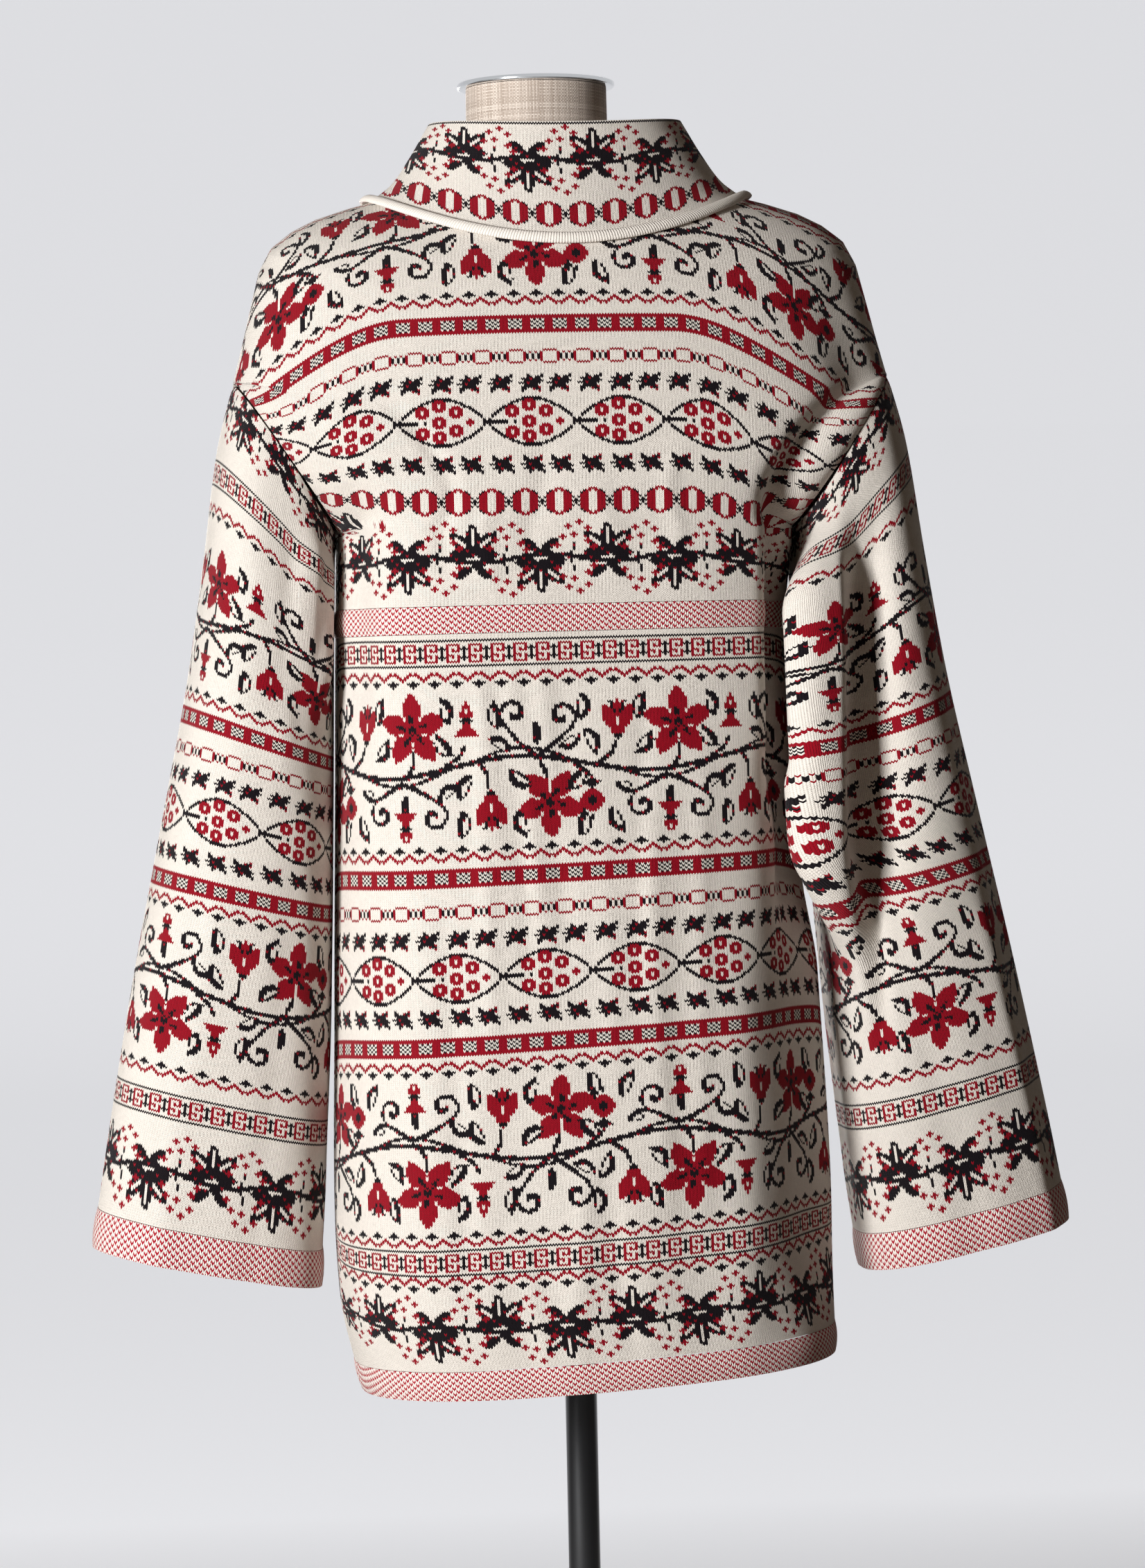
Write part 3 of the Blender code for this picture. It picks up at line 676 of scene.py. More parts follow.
# %% Making a wall from two grids
def wall(name, outer, inner, stitches, material, closed=False):
    """One closed wall between two grids, given row by row from the bottom up, with its stitches' map."""
    rows, cols = outer.shape[:2]
    spans = cols if closed else cols - 1
    faces, maps = [], []

    def join(corners, depths, order):
        """Faces through four arrays of (row, column). A corner of depth 1 lies on the inner grid."""
        placed = [(row + rows * depth) * cols + col % cols for (row, col), depth in zip(corners, depths)]
        faces.append(np.stack(placed[::order], axis=1))
        maps.append(np.stack([stitches[corner] for corner in corners][::order], axis=1))

    r, c = (k.ravel() for k in np.meshgrid(np.arange(rows - 1), np.arange(spans), indexing="ij"))
    corners = [(r, c), (r, c + 1), (r + 1, c + 1), (r + 1, c)]
    join(corners, (0, 0, 0, 0), 1)
    join(corners, (1, 1, 1, 1), -1)
    c = np.arange(spans)
    for rim, order in ((0, 1), (rows - 1, -1)):
        r = np.full(spans, rim)
        join([(r, c), (r, c), (r, c + 1), (r, c + 1)], (0, 1, 1, 0), order)
    if not closed:
        r = np.arange(rows - 1)
        for rim, order in ((0, 1), (cols - 1, -1)):
            c = np.full(rows - 1, rim)
            join([(r, c), (r + 1, c), (r + 1, c), (r, c)], (0, 0, 1, 1), order)
    mesh = bpy.data.meshes.new(name)
    points = np.concatenate([outer.reshape(-1, 3), inner.reshape(-1, 3)])
    mesh.from_pydata(points.tolist(), [], np.concatenate(faces).tolist())
    layer = mesh.uv_layers.new(name="stitches")
    layer.data.foreach_set("uv", np.concatenate(maps).astype(np.float32).ravel())
    mesh.materials.append(material)
    mesh.shade_smooth()
    mesh.set_sharp_from_angle(angle=math.radians(50))
    made = bpy.data.objects.new(name, mesh)
    bpy.context.scene.collection.objects.link(made)
    return made


def near_sides(cols):
    """1 at a panel's side seams, fading to 0 a few millimetres away from them."""
    c = np.arange(cols)
    return bell(np.minimum(c, cols - 1 - c), SEAM_REACH)


# %% [markdown]
# ## The pattern
#
# A jacquard knit has one coloured stitch per cell of a chart, as in cross-stitch. Small bands are written
# out below as rows of letters: r is a crimson stitch, k a black one and a dot a cream one. Each repeats
# across the cloth. The flowers and vines are my own, drawn on the same grid of stitches with dabs and
# stems.

# %% Charts of the small bands
REPEAT = 96  # stitches after which every band has come round
CREAM_YARN, CRIMSON_YARN, BLACK_YARN = 0, 1, 2
YARNS = {".": CREAM_YARN, "r": CRIMSON_YARN, "k": BLACK_YARN}

KEY_BAND = """
kkkkkkkk
........
rrrrr...
r...r.k.
r.r.rkkk
r.rrr.k.
r.....k.
rrr.r.k.
r.r.rkkk
r...r.k.
rrrrr...
........
kkkkkkkk
"""
SCALLOPS = """
...k....
..kkk...
.kkkkk..
...k...r
r.....rr
rr...rr.
.rrrrr..
..r.r...
"""
CHECKS = """
rrrrrrrr
rrrrrrrr
r.k.k.rr
rk.k.krr
r.k.k.rr
rk.k.krr
r.k.k.rr
rrrrrrrr
rrrrrrrr
"""
BEADS = """
............
.rrrrr......
r.....r.r.r.
r.....rk.k.k
r.....rk.k.k
r.....rk.k.k
r.....r.r.r.
.rrrrr......
............
"""
OVAL_CHAIN = """
....rrr.....
..krr.rrk...
.krr...rrk..
.rrr...rrr..
krrr...rrrk.
.rrr...rrr.k
krrr...rrrkk
.rrr...rrr.k
krrr...rrrk.
.rrr...rrr..
.krr...rrk..
..krr.rrk...
....rrr.....
"""
LEAF_STAR = """
...k....k
...kk.kkk
.kkkrkkk.
..kkkkkkk
kkkrkkkk.
..kkkkk..
.kkkkkkr.
.kk..rkk.
.k.....r.
"""
BLOSSOM = """
.rrr.
rrrrr
rr.rr
rr.rr
rrrrr
.rrr.
"""


def charted(text):
    """A chart as rows of yarn numbers, from its letters."""
    return np.array([[YARNS[letter] for letter in line] for line in text.split()])


def stamp(chart, small, col, row):
    """Lays a small motif on a chart, with its top left stitch at col, row. Columns wrap round."""
    for r in range(small.shape[0]):
        for c in range(small.shape[1]):
            if small[r, c] != CREAM_YARN and 0 <= row + r < chart.shape[0]:
                chart[row + r, (col + c) % chart.shape[1]] = small[r, c]


# %% [markdown]
# The vines are drawn with four kinds of mark, all measured in millimetres, so that they keep their shape on
# stitches that are wider than they are high: an oval dab, a pointed petal, a stem and a curl. A stem is a
# chain of small dabs along a smooth curve, and a curl is a stem that winds up.

# %% Drawing on a chart
WALE_MM = WALE * 1000
COURSE_MM = COURSE * 1000


def turned_millimetres(chart, at, turn):
    """How far each stitch lies from a place, along and across a direction."""
    rows, cols = np.indices(chart.shape)
    repeat = chart.shape[1]
    dx = ((cols - at[0] + repeat / 2) % repeat - repeat / 2) * WALE_MM
    dy = (at[1] - rows) * COURSE_MM
    c, s = math.cos(math.radians(turn)), math.sin(math.radians(turn))
    return dx * c + dy * s, dy * c - dx * s


def dab(chart, at, long, wide, yarn, turn=0):
    """A filled oval, long by wide millimetres from its middle."""
    forth, aside = turned_millimetres(chart, at, turn)
    chart[(forth / long) ** 2 + (aside / wide) ** 2 < 1] = yarn


def petal(chart, at, long, wide, yarn, turn, bend=0.0):
    """A pointed lens, curved to one side by bend."""
    forth, aside = turned_millimetres(chart, at, turn)
    share = forth / long
    chart[(np.abs(share) < 1) & (np.abs(aside - bend * share**2) < wide * (1 - share**2))] = yarn


def beside(at, reach, turn):
    """The stitch this many millimetres from another, in a direction."""
    c, s = math.cos(math.radians(turn)), math.sin(math.radians(turn))
    return at[0] + reach * c / WALE_MM, at[1] - reach * s / COURSE_MM


def curved(p, q, r, s, t):
    """The share t of the way from q to r, on a smooth curve that comes from p and goes on to s."""
    return 0.5 * (2 * q + (r - p) * t + (2 * p - 5 * q + 4 * r - s) * t**2 + (3 * q - p - 3 * r + s) * t**3)


def stem(chart, points, thick, yarn, thin=None):
    """A smooth line through points, tapering from thick to thin millimetres."""
    ends = [points[0], *points, points[-1]]
    spans = len(points) - 1
    for k, (a, b, c, d) in enumerate(zip(ends, ends[1:], ends[2:], ends[3:])):
        for t in np.linspace(0, 1, 20):
            at = [curved(*values, t) for values in zip(a, b, c, d)]
            size = thick if thin is None else thick + (thin - thick) * (k + t) / spans
            dab(chart, at, size, size, yarn)


def curl(chart, at, size, start, turns):
    """A black spiral that winds in to at, from size millimetres away at the angle start, and thickens."""
    points = []
    for t in np.linspace(0, 1, 12):
        points.append(beside(at, size * (1 - 0.78 * t), start + 360 * turns * t))
    stem(chart, points, 1.1, BLACK_YARN, 2.2)
    return points[0]


def leaf(chart, at, long, wide, turn, bend=0.0):
    """A black leaf with one half left open."""
    petal(chart, at, long, wide, BLACK_YARN, turn, bend)
    petal(chart, beside(at, wide * 0.30, turn + 90), long * 0.66, wide * 0.36, CREAM_YARN, turn, bend * 0.8)


def blossom(chart, at, petals, reach, start):
    """Pointed crimson petals round a black eye, with a black vein in each and a cream dot between two."""
    for k in range(petals):
        turn = start + 360 * k / petals
        petal(chart, beside(at, reach, turn), reach * 1.04, reach * 0.56, CRIMSON_YARN, turn, 1.2)
    for k in range(petals):
        turn = start + 360 * k / petals
        petal(chart, beside(at, reach * 0.62, turn + 6), reach * 0.34, 1.5, BLACK_YARN, turn)
        turn = start + 360 * (k + 0.5) / petals
        dab(chart, beside(at, reach * 0.72, turn), 1.9, 1.1, CREAM_YARN, turn)
    dab(chart, at, 3.4, 3.0, BLACK_YARN)


def tulip(chart, at, way, tall=13.0):
    """A crimson cup that opens up (way 1) or down (way -1), with black stamens."""
    foot = beside(at, -tall * 0.45 * way, 90)
    for lean in (28, -28, 0):
        turn = 90 * way + lean * way
        petal(chart, beside(foot, tall * 0.72, turn), tall * 0.74, 4.6, CRIMSON_YARN, turn)
    dab(chart, beside(foot, tall * 0.18 * way, 90), 5.4, 4.4, CRIMSON_YARN)
    dab(chart, beside(foot, tall * 0.50 * way, 90), 1.0, 2.6, CREAM_YARN)
    for side in (-1, 1):
        tip = beside(foot, tall * 1.36 * way, 90 - 13 * side * way)
        stem(chart, [beside(foot, tall * 0.95 * way, 90 - 10 * side * way), tip], 1.2, BLACK_YARN)
    dab(chart, beside(foot, -2.6 * way, 90), 2.6, 2.0, BLACK_YARN)


def bell_flower(chart, at, way):
    """A narrow crimson bell with a black waist and a frilled foot."""
    dab(chart, beside(at, 6.0 * way, 90), 4.4, 4.4, CRIMSON_YARN)
    petal(chart, beside(at, 11.0 * way, 90), 4.6, 2.4, CRIMSON_YARN, 90)
    petal(chart, beside(at, -5.5 * way, 90), 8.6, 3.4, CRIMSON_YARN, 0, 4.4 * -way)
    dab(chart, beside(at, -2.2 * way, 90), 2.4, 3.4, CRIMSON_YARN)
    dab(chart, beside(at, 1.4 * way, 90), 4.2, 1.7, BLACK_YARN)
    dab(chart, beside(at, 7.6 * way, 90), 1.0, 1.6, CREAM_YARN)


def speckle(chart):
    """Turns about one black stitch in eight crimson, as where the second yarn shows through."""
    rows, cols = np.indices(chart.shape)
    picked = (rows * 37 + cols * 61 + rows * cols * 7) % 8 == 0
    chart[(chart == BLACK_YARN) & picked] = CRIMSON_YARN
    return chart


# %% [markdown]
# Two bands are small motifs in a row: stars of leaves, and pointed eyes that are linked in a chain.

# %% The stars and the eyes
def make_star_band():
    chart = np.zeros((10, 32), int)
    for col in (1, 12, 22):
        stamp(chart, charted(LEAF_STAR), col, 0)
    return chart


def make_eye_band():
    """Pointed ovals in a chain, each round a spray of crimson blossoms."""
    chart = np.zeros((26, 32), int)
    middle = 12.5
    for side in (-1, 1):
        arch = [(x, middle + side * 11.2 * math.sin(math.pi * x / 32) ** 0.9) for x in range(0, 33, 2)]
        stem(chart, arch, 1.15, BLACK_YARN)
        stem(chart, [(-4, middle + side * 5.5), (0, middle), (4, middle - side * 5.0)], 1.0, BLACK_YARN)
    stem(chart, [(1, middle), (7, middle)], 1.0, BLACK_YARN)
    for col, row in ((7, 5), (13, 2), (7, 15), (13, 17), (19, 5), (19, 14), (13, 10)):
        stamp(chart, charted(BLOSSOM), col, row)
    dab(chart, (26, middle), 2.6, 2.2, CRIMSON_YARN)
    dab(chart, (10, middle), 1.6, 1.2, BLACK_YARN)
    return chart


# %% [markdown]
# The two vines are generic folk motifs in a layout of my own: five-petalled blossoms, tulips, bells,
# rosettes and curled leaves hang on both sides of a waving stem.

# %% The vines
def make_floral_vine():
    """A waving stem with flowers and curled leaves on both sides."""
    chart = np.zeros((70, REPEAT), int)

    def middle(x):
        return 35 + 4.5 * math.sin(2 * math.pi * x / REPEAT)

    stem(chart, [(x, middle(x)) for x in range(0, 97, 4)], 1.8, BLACK_YARN)
    for first, side in ((56, -1), (12, 1)):  # a thin stem leaves the thick one and comes back to it
        steps = range(first, first + 37, 4)
        aside = [(x, middle(x) + side * 4 * math.sin(math.pi * (x - first) / 36)) for x in steps]
        stem(chart, aside, 1.2, BLACK_YARN)
    # above the stem
    stem(chart, [(4, 36), (9, 31), (11, 26)], 1.6, BLACK_YARN)
    tulip(chart, (12, 16), 1, 16.0)
    stem(chart, [(32, 38), (34, 33), (34, 28)], 1.6, BLACK_YARN)
    blossom(chart, (34, 17), 5, 13.0, 90)
    stem(chart, [(46, 34), (51, 30), (53, 25)], 1.3, BLACK_YARN)
    bell_flower(chart, (54, 14), 1)
    for at, size, start, turns in (((71, 10), 10.5, 230, -1.0), ((88, 12), 10.5, -50, 1.0)):
        first = curl(chart, at, size, start, turns)
        stem(chart, [first, ((first[0] + 79) / 2, 25), (79, 31)], 1.3, BLACK_YARN, 2.0)
    leaf(chart, (66, 24), 9.5, 4.4, 148, 1.5)
    leaf(chart, (91, 25), 9.5, 4.4, 28, 1.5)
    petal(chart, (79, 20), 9.0, 3.4, BLACK_YARN, 92, 1.0)
    # below the stem
    stem(chart, [(80, 34), (82, 40), (82, 45)], 1.6, BLACK_YARN)
    blossom(chart, (83, 53), 5, 12.5, 198)
    stem(chart, [(58, 33), (61, 39), (61, 44)], 1.5, BLACK_YARN)
    tulip(chart, (62, 54), -1, 16.0)
    stem(chart, [(92, 35), (97, 40), (99, 45)], 1.3, BLACK_YARN)
    dab(chart, (2, 53), 8.0, 7.6, CRIMSON_YARN)
    dab(chart, (2, 53), 3.8, 3.2, BLACK_YARN)
    petal(chart, (2, 45), 7.0, 3.0, BLACK_YARN, 0, 2.0)
    dab(chart, (2, 61), 1.8, 2.6, BLACK_YARN)
    for at, size, start, turns in (((20, 56), 10.0, 120, 1.0), ((41, 58), 10.5, 60, -1.0)):
        first = curl(chart, at, size, start, turns)
        stem(chart, [first, ((first[0] + 29) / 2, 46), (29, 42)], 1.3, BLACK_YARN, 2.0)
    leaf(chart, (14, 47), 8.5, 4.0, -28, -1.5)
    leaf(chart, (46, 46), 9.0, 4.4, 214, 1.5)
    petal(chart, (30, 53), 9.0, 3.4, BLACK_YARN, 268, 1.0)
    bell_flower(chart, (30, 62), -1)
    # black leaves wherever the ground is bare
    for at, turn, bend in (
        ((22, 27), 52, 2.2), ((45, 25), 128, -2.2), ((3, 24), 112, 2.0), ((20, 8), 74, -2.0),
        ((47, 8), 104, 2.0), ((64, 11), 98, -1.8), ((0, 8), 84, 1.8), ((72, 42), -38, 2.0),
        ((93, 43), -128, -2.0), ((52, 44), -118, 2.0), ((72, 63), -72, 2.2), ((95, 64), -100, -2.0),
        ((52, 62), -96, -2.0), ((10, 63), -66, 2.0),
    ):
        leaf(chart, at, 10.5, 5.2, turn, bend)
    return speckle(chart)


def make_leaf_vine():
    """A level stem with spreading leaves, up and down in turn, and sprays of crimson berries."""
    chart = np.zeros((40, 48), int)
    stem(chart, [(x, 20 + 2.0 * math.sin(2 * math.pi * x / 48)) for x in range(0, 49, 4)], 1.6, BLACK_YARN)
    for x, way in ((10, 1), (34, -1)):
        heart = (x, 20 - 3 * way)
        for lean, long in ((90, 10.6), (40, 11.4), (140, 11.4), (-8, 9.6), (188, 9.6)):
            turn = lean * way
            petal(chart, beside(heart, long * 0.95, turn), long, 4.6, BLACK_YARN, turn, 0.8)
        for lean in (90, 40, 140):
            turn = lean * way
            petal(chart, beside(heart, 10.8, turn), 6.0, 1.5, CREAM_YARN, turn)
        dab(chart, heart, 3.4, 3.0, BLACK_YARN)
        for turn in (216 * way, 324 * way):
            petal(chart, beside((x, 20 + 3 * way), 8.2, turn), 8.0, 3.4, BLACK_YARN, turn, 0.8)
    for x, y, way in ((22, 9, 1), (46, 31, -1), (22, 32, -1), (46, 8, 1)):
        stem(chart, [(x - 1, 20), (x, y + 5 * way)], 0.9, BLACK_YARN)
        for dx, dy in ((-4, 2), (-2, -3), (2, -5), (5, -2), (5, 4), (-6, 6), (0, 1), (7, 7)):
            dab(chart, (x + dx, y + dy * way), 2.4, 1.9, CRIMSON_YARN)
    return speckle(chart)


# %% [markdown]
# All charts are stacked into one tall chart, 96 stitches wide. The material has to read a stitch's colour
# from it without any picture file. So each column's stitches are packed as the binary digits of three
# numbers, the red, green and blue of a stop on a colour ramp: a ramp with 32 stops holds 32 columns of 60
# rows.

# %% Stacking the charts
BITS = 20
RAMP_ROWS = 3 * BITS
RAMP_COLUMNS = 32
RAMP_TABLE = 255  # the last entry of the table into which Blender turns a ramp
STOP_WIDTH = 8  # entries that a stop of a chart's ramp covers
CHARTS = {
    "blank": np.zeros((2, 8), int),
    "key": charted(KEY_BAND),
    "scallops": charted(SCALLOPS),
    "checks": charted(CHECKS),
    "beads": charted(BEADS),
    "ovals": charted(OVAL_CHAIN),
    "stars": make_star_band(),
    "eyes": make_eye_band(),
    "line": np.full((1, 8), BLACK_YARN),
    "leaf_vine": make_leaf_vine(),
    "floral_vine": make_floral_vine(),
}


def stack_charts():
    """The tall chart, and where each band starts in it. Two cream rows part the bands."""
    starts, rows = {}, []
    for name, chart in CHARTS.items():
        starts[name] = len(rows)
        rows += [np.tile(row, REPEAT // len(row)) for row in chart]
        rows += [np.zeros(REPEAT, int)] * 2
    while len(rows) % RAMP_ROWS:
        rows.append(np.zeros(REPEAT, int))
    return starts, np.array(rows)


chart_starts, tall_chart = stack_charts()
print("rows of the tall chart:", len(tall_chart), "in", len(tall_chart) // RAMP_ROWS, "groups of ramps")

# %% The chart as a node group
def packed(column):
    """20 stitches as the digits of a number below 1, with a quarter of a digit more against rounding."""
    return sum(2.0 ** -(k + 1) for k, stitch in enumerate(column) if stitch) + 2.0 ** -(BITS + 2)


def ramp_stops(socket, colours):
    """Fills a ramp with steps that don't blend, each as wide as a stop."""
    ramp_data = socket.node.color_ramp
    ramp_data.interpolation = "CONSTANT"
    ramp_data.elements.remove(ramp_data.elements[1])
    ramp_data.elements[0].position = 0.0
    ramp_data.elements[0].color = colours[0]
    for k, colour in enumerate(colours[1:], 1):
        ramp_data.elements.new((STOP_WIDTH * k - 0.5) / RAMP_TABLE).color = colour


def make_chart_group():
    group = bpy.data.node_groups.new("jacquard chart", "ShaderNodeTree")
    for name in ("Wale", "Row"):
        group.interface.new_socket(name, in_out="INPUT", socket_type="NodeSocketFloat")
    for name in ("Black", "Crimson"):
        group.interface.new_socket(name, in_out="OUTPUT", socket_type="NodeSocketFloat")
    entry = group.nodes.new("NodeGroupInput")
    wale = add(group, "Math FLOORED_MODULO", (entry.outputs["Wale"], float(REPEAT)))
    blocks = add(group, "Math DIVIDE", (wale, RAMP_COLUMNS))
    block = add(group, "Math FLOOR", (blocks,))
    inside = add(group, "Math MULTIPLY_ADD", (block, -RAMP_COLUMNS, wale))
    width = STOP_WIDTH / RAMP_TABLE
    factor = add(group, "Math MULTIPLY_ADD", (inside, width, width / 2))
    row = entry.outputs["Row"]
    thirds = add(group, "Math DIVIDE", (row, BITS))
    third = add(group, "Math FLOOR", (thirds,))
    digit = add(group, "Math MULTIPLY_ADD", (third, -float(BITS), row))
    part = add(group, "Math FLOORED_MODULO", (third, 3.0))
    tiers = add(group, "Math DIVIDE", (third, 3.0))
    tier = add(group, "Math FLOOR", (tiers,))
    picks = [add(group, "Math COMPARE", (part, float(k), 0.1)) for k in range(3)]
    part_pick = add(group, "CombineXYZ", picks)
    shift = add(group, "Math POWER", (2.0, digit))
    group_exit = group.nodes.new("NodeGroupOutput")
    for name, yarn in (("Black", BLACK_YARN), ("Crimson", CRIMSON_YARN)):
        total = None
        for k in range(len(tall_chart) // RAMP_ROWS):
            for b in range(REPEAT // RAMP_COLUMNS):
                rows = tall_chart[k * RAMP_ROWS : (k + 1) * RAMP_ROWS] == yarn
                colours = []
                for column in range(b * RAMP_COLUMNS, (b + 1) * RAMP_COLUMNS):
                    digits = [packed(rows[t * BITS : (t + 1) * BITS, column]) for t in range(3)]
                    colours.append((*digits, 1.0))
                colour = add(group, "ValToRGB", (factor,))
                ramp_stops(colour, colours)
                here = add(group, "Math COMPARE", (block, float(b), 0.1))
                there = add(group, "Math COMPARE", (tier, float(k), 0.1))
                both = add(group, "Math MULTIPLY", (here, there))
                parts = (colour, both, (0.0, 0.0, 0.0) if total is None else total)
                total = add(group, "VectorMath MULTIPLY_ADD", parts)
        number = add(group, "VectorMath DOT_PRODUCT", (total, part_pick))
        moved = add(group, "Math MULTIPLY", (number.node.outputs["Value"], shift))
        rest = add(group, "Math FRACT", (moved,))
        on = add(group, "Math GREATER_THAN", (rest, 0.5))
        group.links.new(on, group_exit.inputs[name])
    return group


chart_group = make_chart_group()
print("nodes in the chart group:", len(chart_group.nodes))

# %% [markdown]
# ## Yarn
#
# Stocking stitch shows as columns of small Vs. Each row of the chart is pushed up towards the sides of its
# wale, so that every edge between two colours has the zigzag of real stitches. The bump rounds the two legs
# of each V, and fine noise stands for the fuzz of soft wool. Wool is matt, with a faint sheen at grazing
# angles.

# %% A jacquard knit for one run of bands
CREAM = linear("#F1E9DF")
CRIMSON = linear("#96051C")
BLACK = linear("#110A10")
BIRDSEYE_CREAM = linear("#F8EEE6")
BIRDSEYE_CRIMSON = linear("#AE1029")
SKEW = 0.9  # how many courses a V rises from its point to its tips
BIRDSEYE_SCALE = 1.45
CHECK_HEIGHT = 0.82  # share of a course that a crimson check fills, so that checks don't join


def knit_material(name, bands):
    """bands is a list of (first course, chart's name, 1 upright or -1 upside down), from the bottom up."""
    material, tree = new_material(name)
    place = add(tree, "UVMap", uv_map="stitches")
    if not bands:  # drawn coarser than the bands' own gauge, which is too fine for its checks to show
        place = add(tree, "VectorMath SCALE", {0: place, 3: 1 / BIRDSEYE_SCALE})
    split = add(tree, "SeparateXYZ", (place,)).node
    across, up = split.outputs[0], split.outputs[1]
    wale = add(tree, "Math FLOOR", (across,))
    in_wale = add(tree, "Math FRACT", (across,))
    centred = add(tree, "Math MULTIPLY_ADD", (in_wale, 2.0, -1.0))
    leg = add(tree, "Math ABSOLUTE", (centred,))
    height = add(tree, "Math MULTIPLY_ADD", (leg, -SKEW, up))
    course = add(tree, "Math FLOOR", (height,))
    in_course = add(tree, "Math FRACT", (height,))
    if bands:
        black, crimson = read_chart(tree, wale, course, bands)
        ground = add(tree, "Mix", {0: crimson, 6: CREAM, 7: CRIMSON}, data_type="RGBA").node.outputs[2]
        colour = add(tree, "Mix", {0: black, 6: ground, 7: BLACK}, data_type="RGBA").node.outputs[2]
    else:
        parity = add(tree, "Math ADD", (wale, course))
        odd = add(tree, "Math FLOORED_MODULO", (parity, 2.0))
        lower = add(tree, "Math LESS_THAN", (in_course, CHECK_HEIGHT))
        odd = add(tree, "Math MULTIPLY", (odd, lower))
        checks = add(tree, "Mix", {0: odd, 6: BIRDSEYE_CREAM, 7: BIRDSEYE_CRIMSON}, data_type="RGBA")
        colour = checks.node.outputs[2]
    finish_yarn(tree, colour, leg, in_course, wale, course)
    return material


# %% [markdown]
# A list of bands becomes a colour ramp too. Each stop says at which course its band starts, where the
# band's chart lies in the tall one, how many rows it has, and whether it stands upright or upside down.

# %% Reading the list of bands
COUNTED = 1024  # courses and rows are written into a ramp as shares of this


def read_chart(tree, wale, course, bands):
    """(black, crimson) of a stitch. A ramp with a stop for each band says where its chart starts."""
    pairs = add(tree, "Math MULTIPLY", (course, 0.5))
    pair = add(tree, "Math FLOOR", (pairs,))
    factor = add(tree, "Math MULTIPLY_ADD", (pair, 1 / RAMP_TABLE, 0.5 / RAMP_TABLE))
    table = add(tree, "ValToRGB", (factor,))
    steps = table.node.color_ramp
    steps.interpolation = "CONSTANT"
    steps.elements.remove(steps.elements[1])
    for k, (first, chart, way) in enumerate(bands):
        start, count = chart_starts[chart], len(CHARTS[chart])
        origin = start + count - 1 if way > 0 else start
        colour = (first / COUNTED, origin / COUNTED, count / COUNTED, 1.0 if way > 0 else 0.0)
        if k == 0:
            steps.elements[0].position = 0.0
            steps.elements[0].color = colour
        else:
            steps.elements.new((first / 2 - 0.5) / RAMP_TABLE).color = colour
    said = add(tree, "SeparateColor", (table,)).node
    start = add(tree, "Math MULTIPLY_ADD", (said.outputs[0], -COUNTED, course))
    count = add(tree, "Math MULTIPLY_ADD", (said.outputs[2], COUNTED, -0.5))
    inside = add(tree, "Math LESS_THAN", (start, count))
    above = add(tree, "Math GREATER_THAN", (start, -0.5))
    way = add(tree, "Math MULTIPLY_ADD", (table.node.outputs["Alpha"], -2.0, 1.0))
    step = add(tree, "Math MULTIPLY", (start, way))
    row = add(tree, "Math MULTIPLY_ADD", (said.outputs[1], COUNTED, step))
    lookup = tree.nodes.new("ShaderNodeGroup")
    lookup.node_tree = chart_group
    tree.links.new(wale, lookup.inputs["Wale"])
    tree.links.new(row, lookup.inputs["Row"])
    shown = add(tree, "Math MULTIPLY", (inside, above))
    black = add(tree, "Math MULTIPLY", (lookup.outputs["Black"], shown))
    crimson = add(tree, "Math MULTIPLY", (lookup.outputs["Crimson"], shown))
    return black, crimson


# %% [markdown]
# All the cloth is finished alike. The gaps between stitches, ribs or threads are darkened with painted
# shade, a bump gives them relief, and the shader is rough with a faint sheen. Wool mirrors hardly any
# light, so its specular level is low.

# %% The finish of the yarn
LEG_TIP = 0.5
LEG_GAP = 4.0  # how deep the gaps beside a V's leg are, and below those between two courses
COURSE_GAP = 2.4
# painted shade: how much darker the gaps between stitches are drawn
GAP_PAINTED_SHADE = 0.26
STITCH_SHADE = 0.07  # how much the stitches differ from one another
FUZZ_SCALE = 1400.0  # fibres about 0.7 mm apart
FUZZ_SHADE = 0.16
CLOUD_SCALE = 28.0
CLOUD_SHADE = 0.10
LIT = 0.935  # a stitch's own shade, before its noises are added


def finish_cloth(tree, colour, shade, relief, bump, depth, rough=0.95, specular=0.08, sheen=0.06, spread=0.6):
    """Ends a material of cloth: darkens its colour by the shade, and lets its relief be depth metres deep."""
    grey = add(tree, "CombineXYZ", (shade, shade, shade))
    shaded = add(tree, "VectorMath MULTIPLY", (colour, grey))
    normal = add(tree, "Bump", {"Strength": bump, "Distance": depth, "Height": relief})
    shader = add(tree, "BsdfPrincipled", {
        "Base Color": shaded, "Roughness": rough, "Normal": normal, "Specular IOR Level": specular,
        "Sheen Weight": sheen, "Sheen Roughness": spread,
    })
    add(tree, "OutputMaterial", {"Surface": shader})


def squared(tree, value, off, times):
    """(value + off) squared, times a number: the depth of a hollow that gets deeper away from its middle."""
    moved = add(tree, "Math ADD", (value, off))
    square = add(tree, "Math MULTIPLY", (moved, moved))
    return add(tree, "Math MULTIPLY", (square, times))


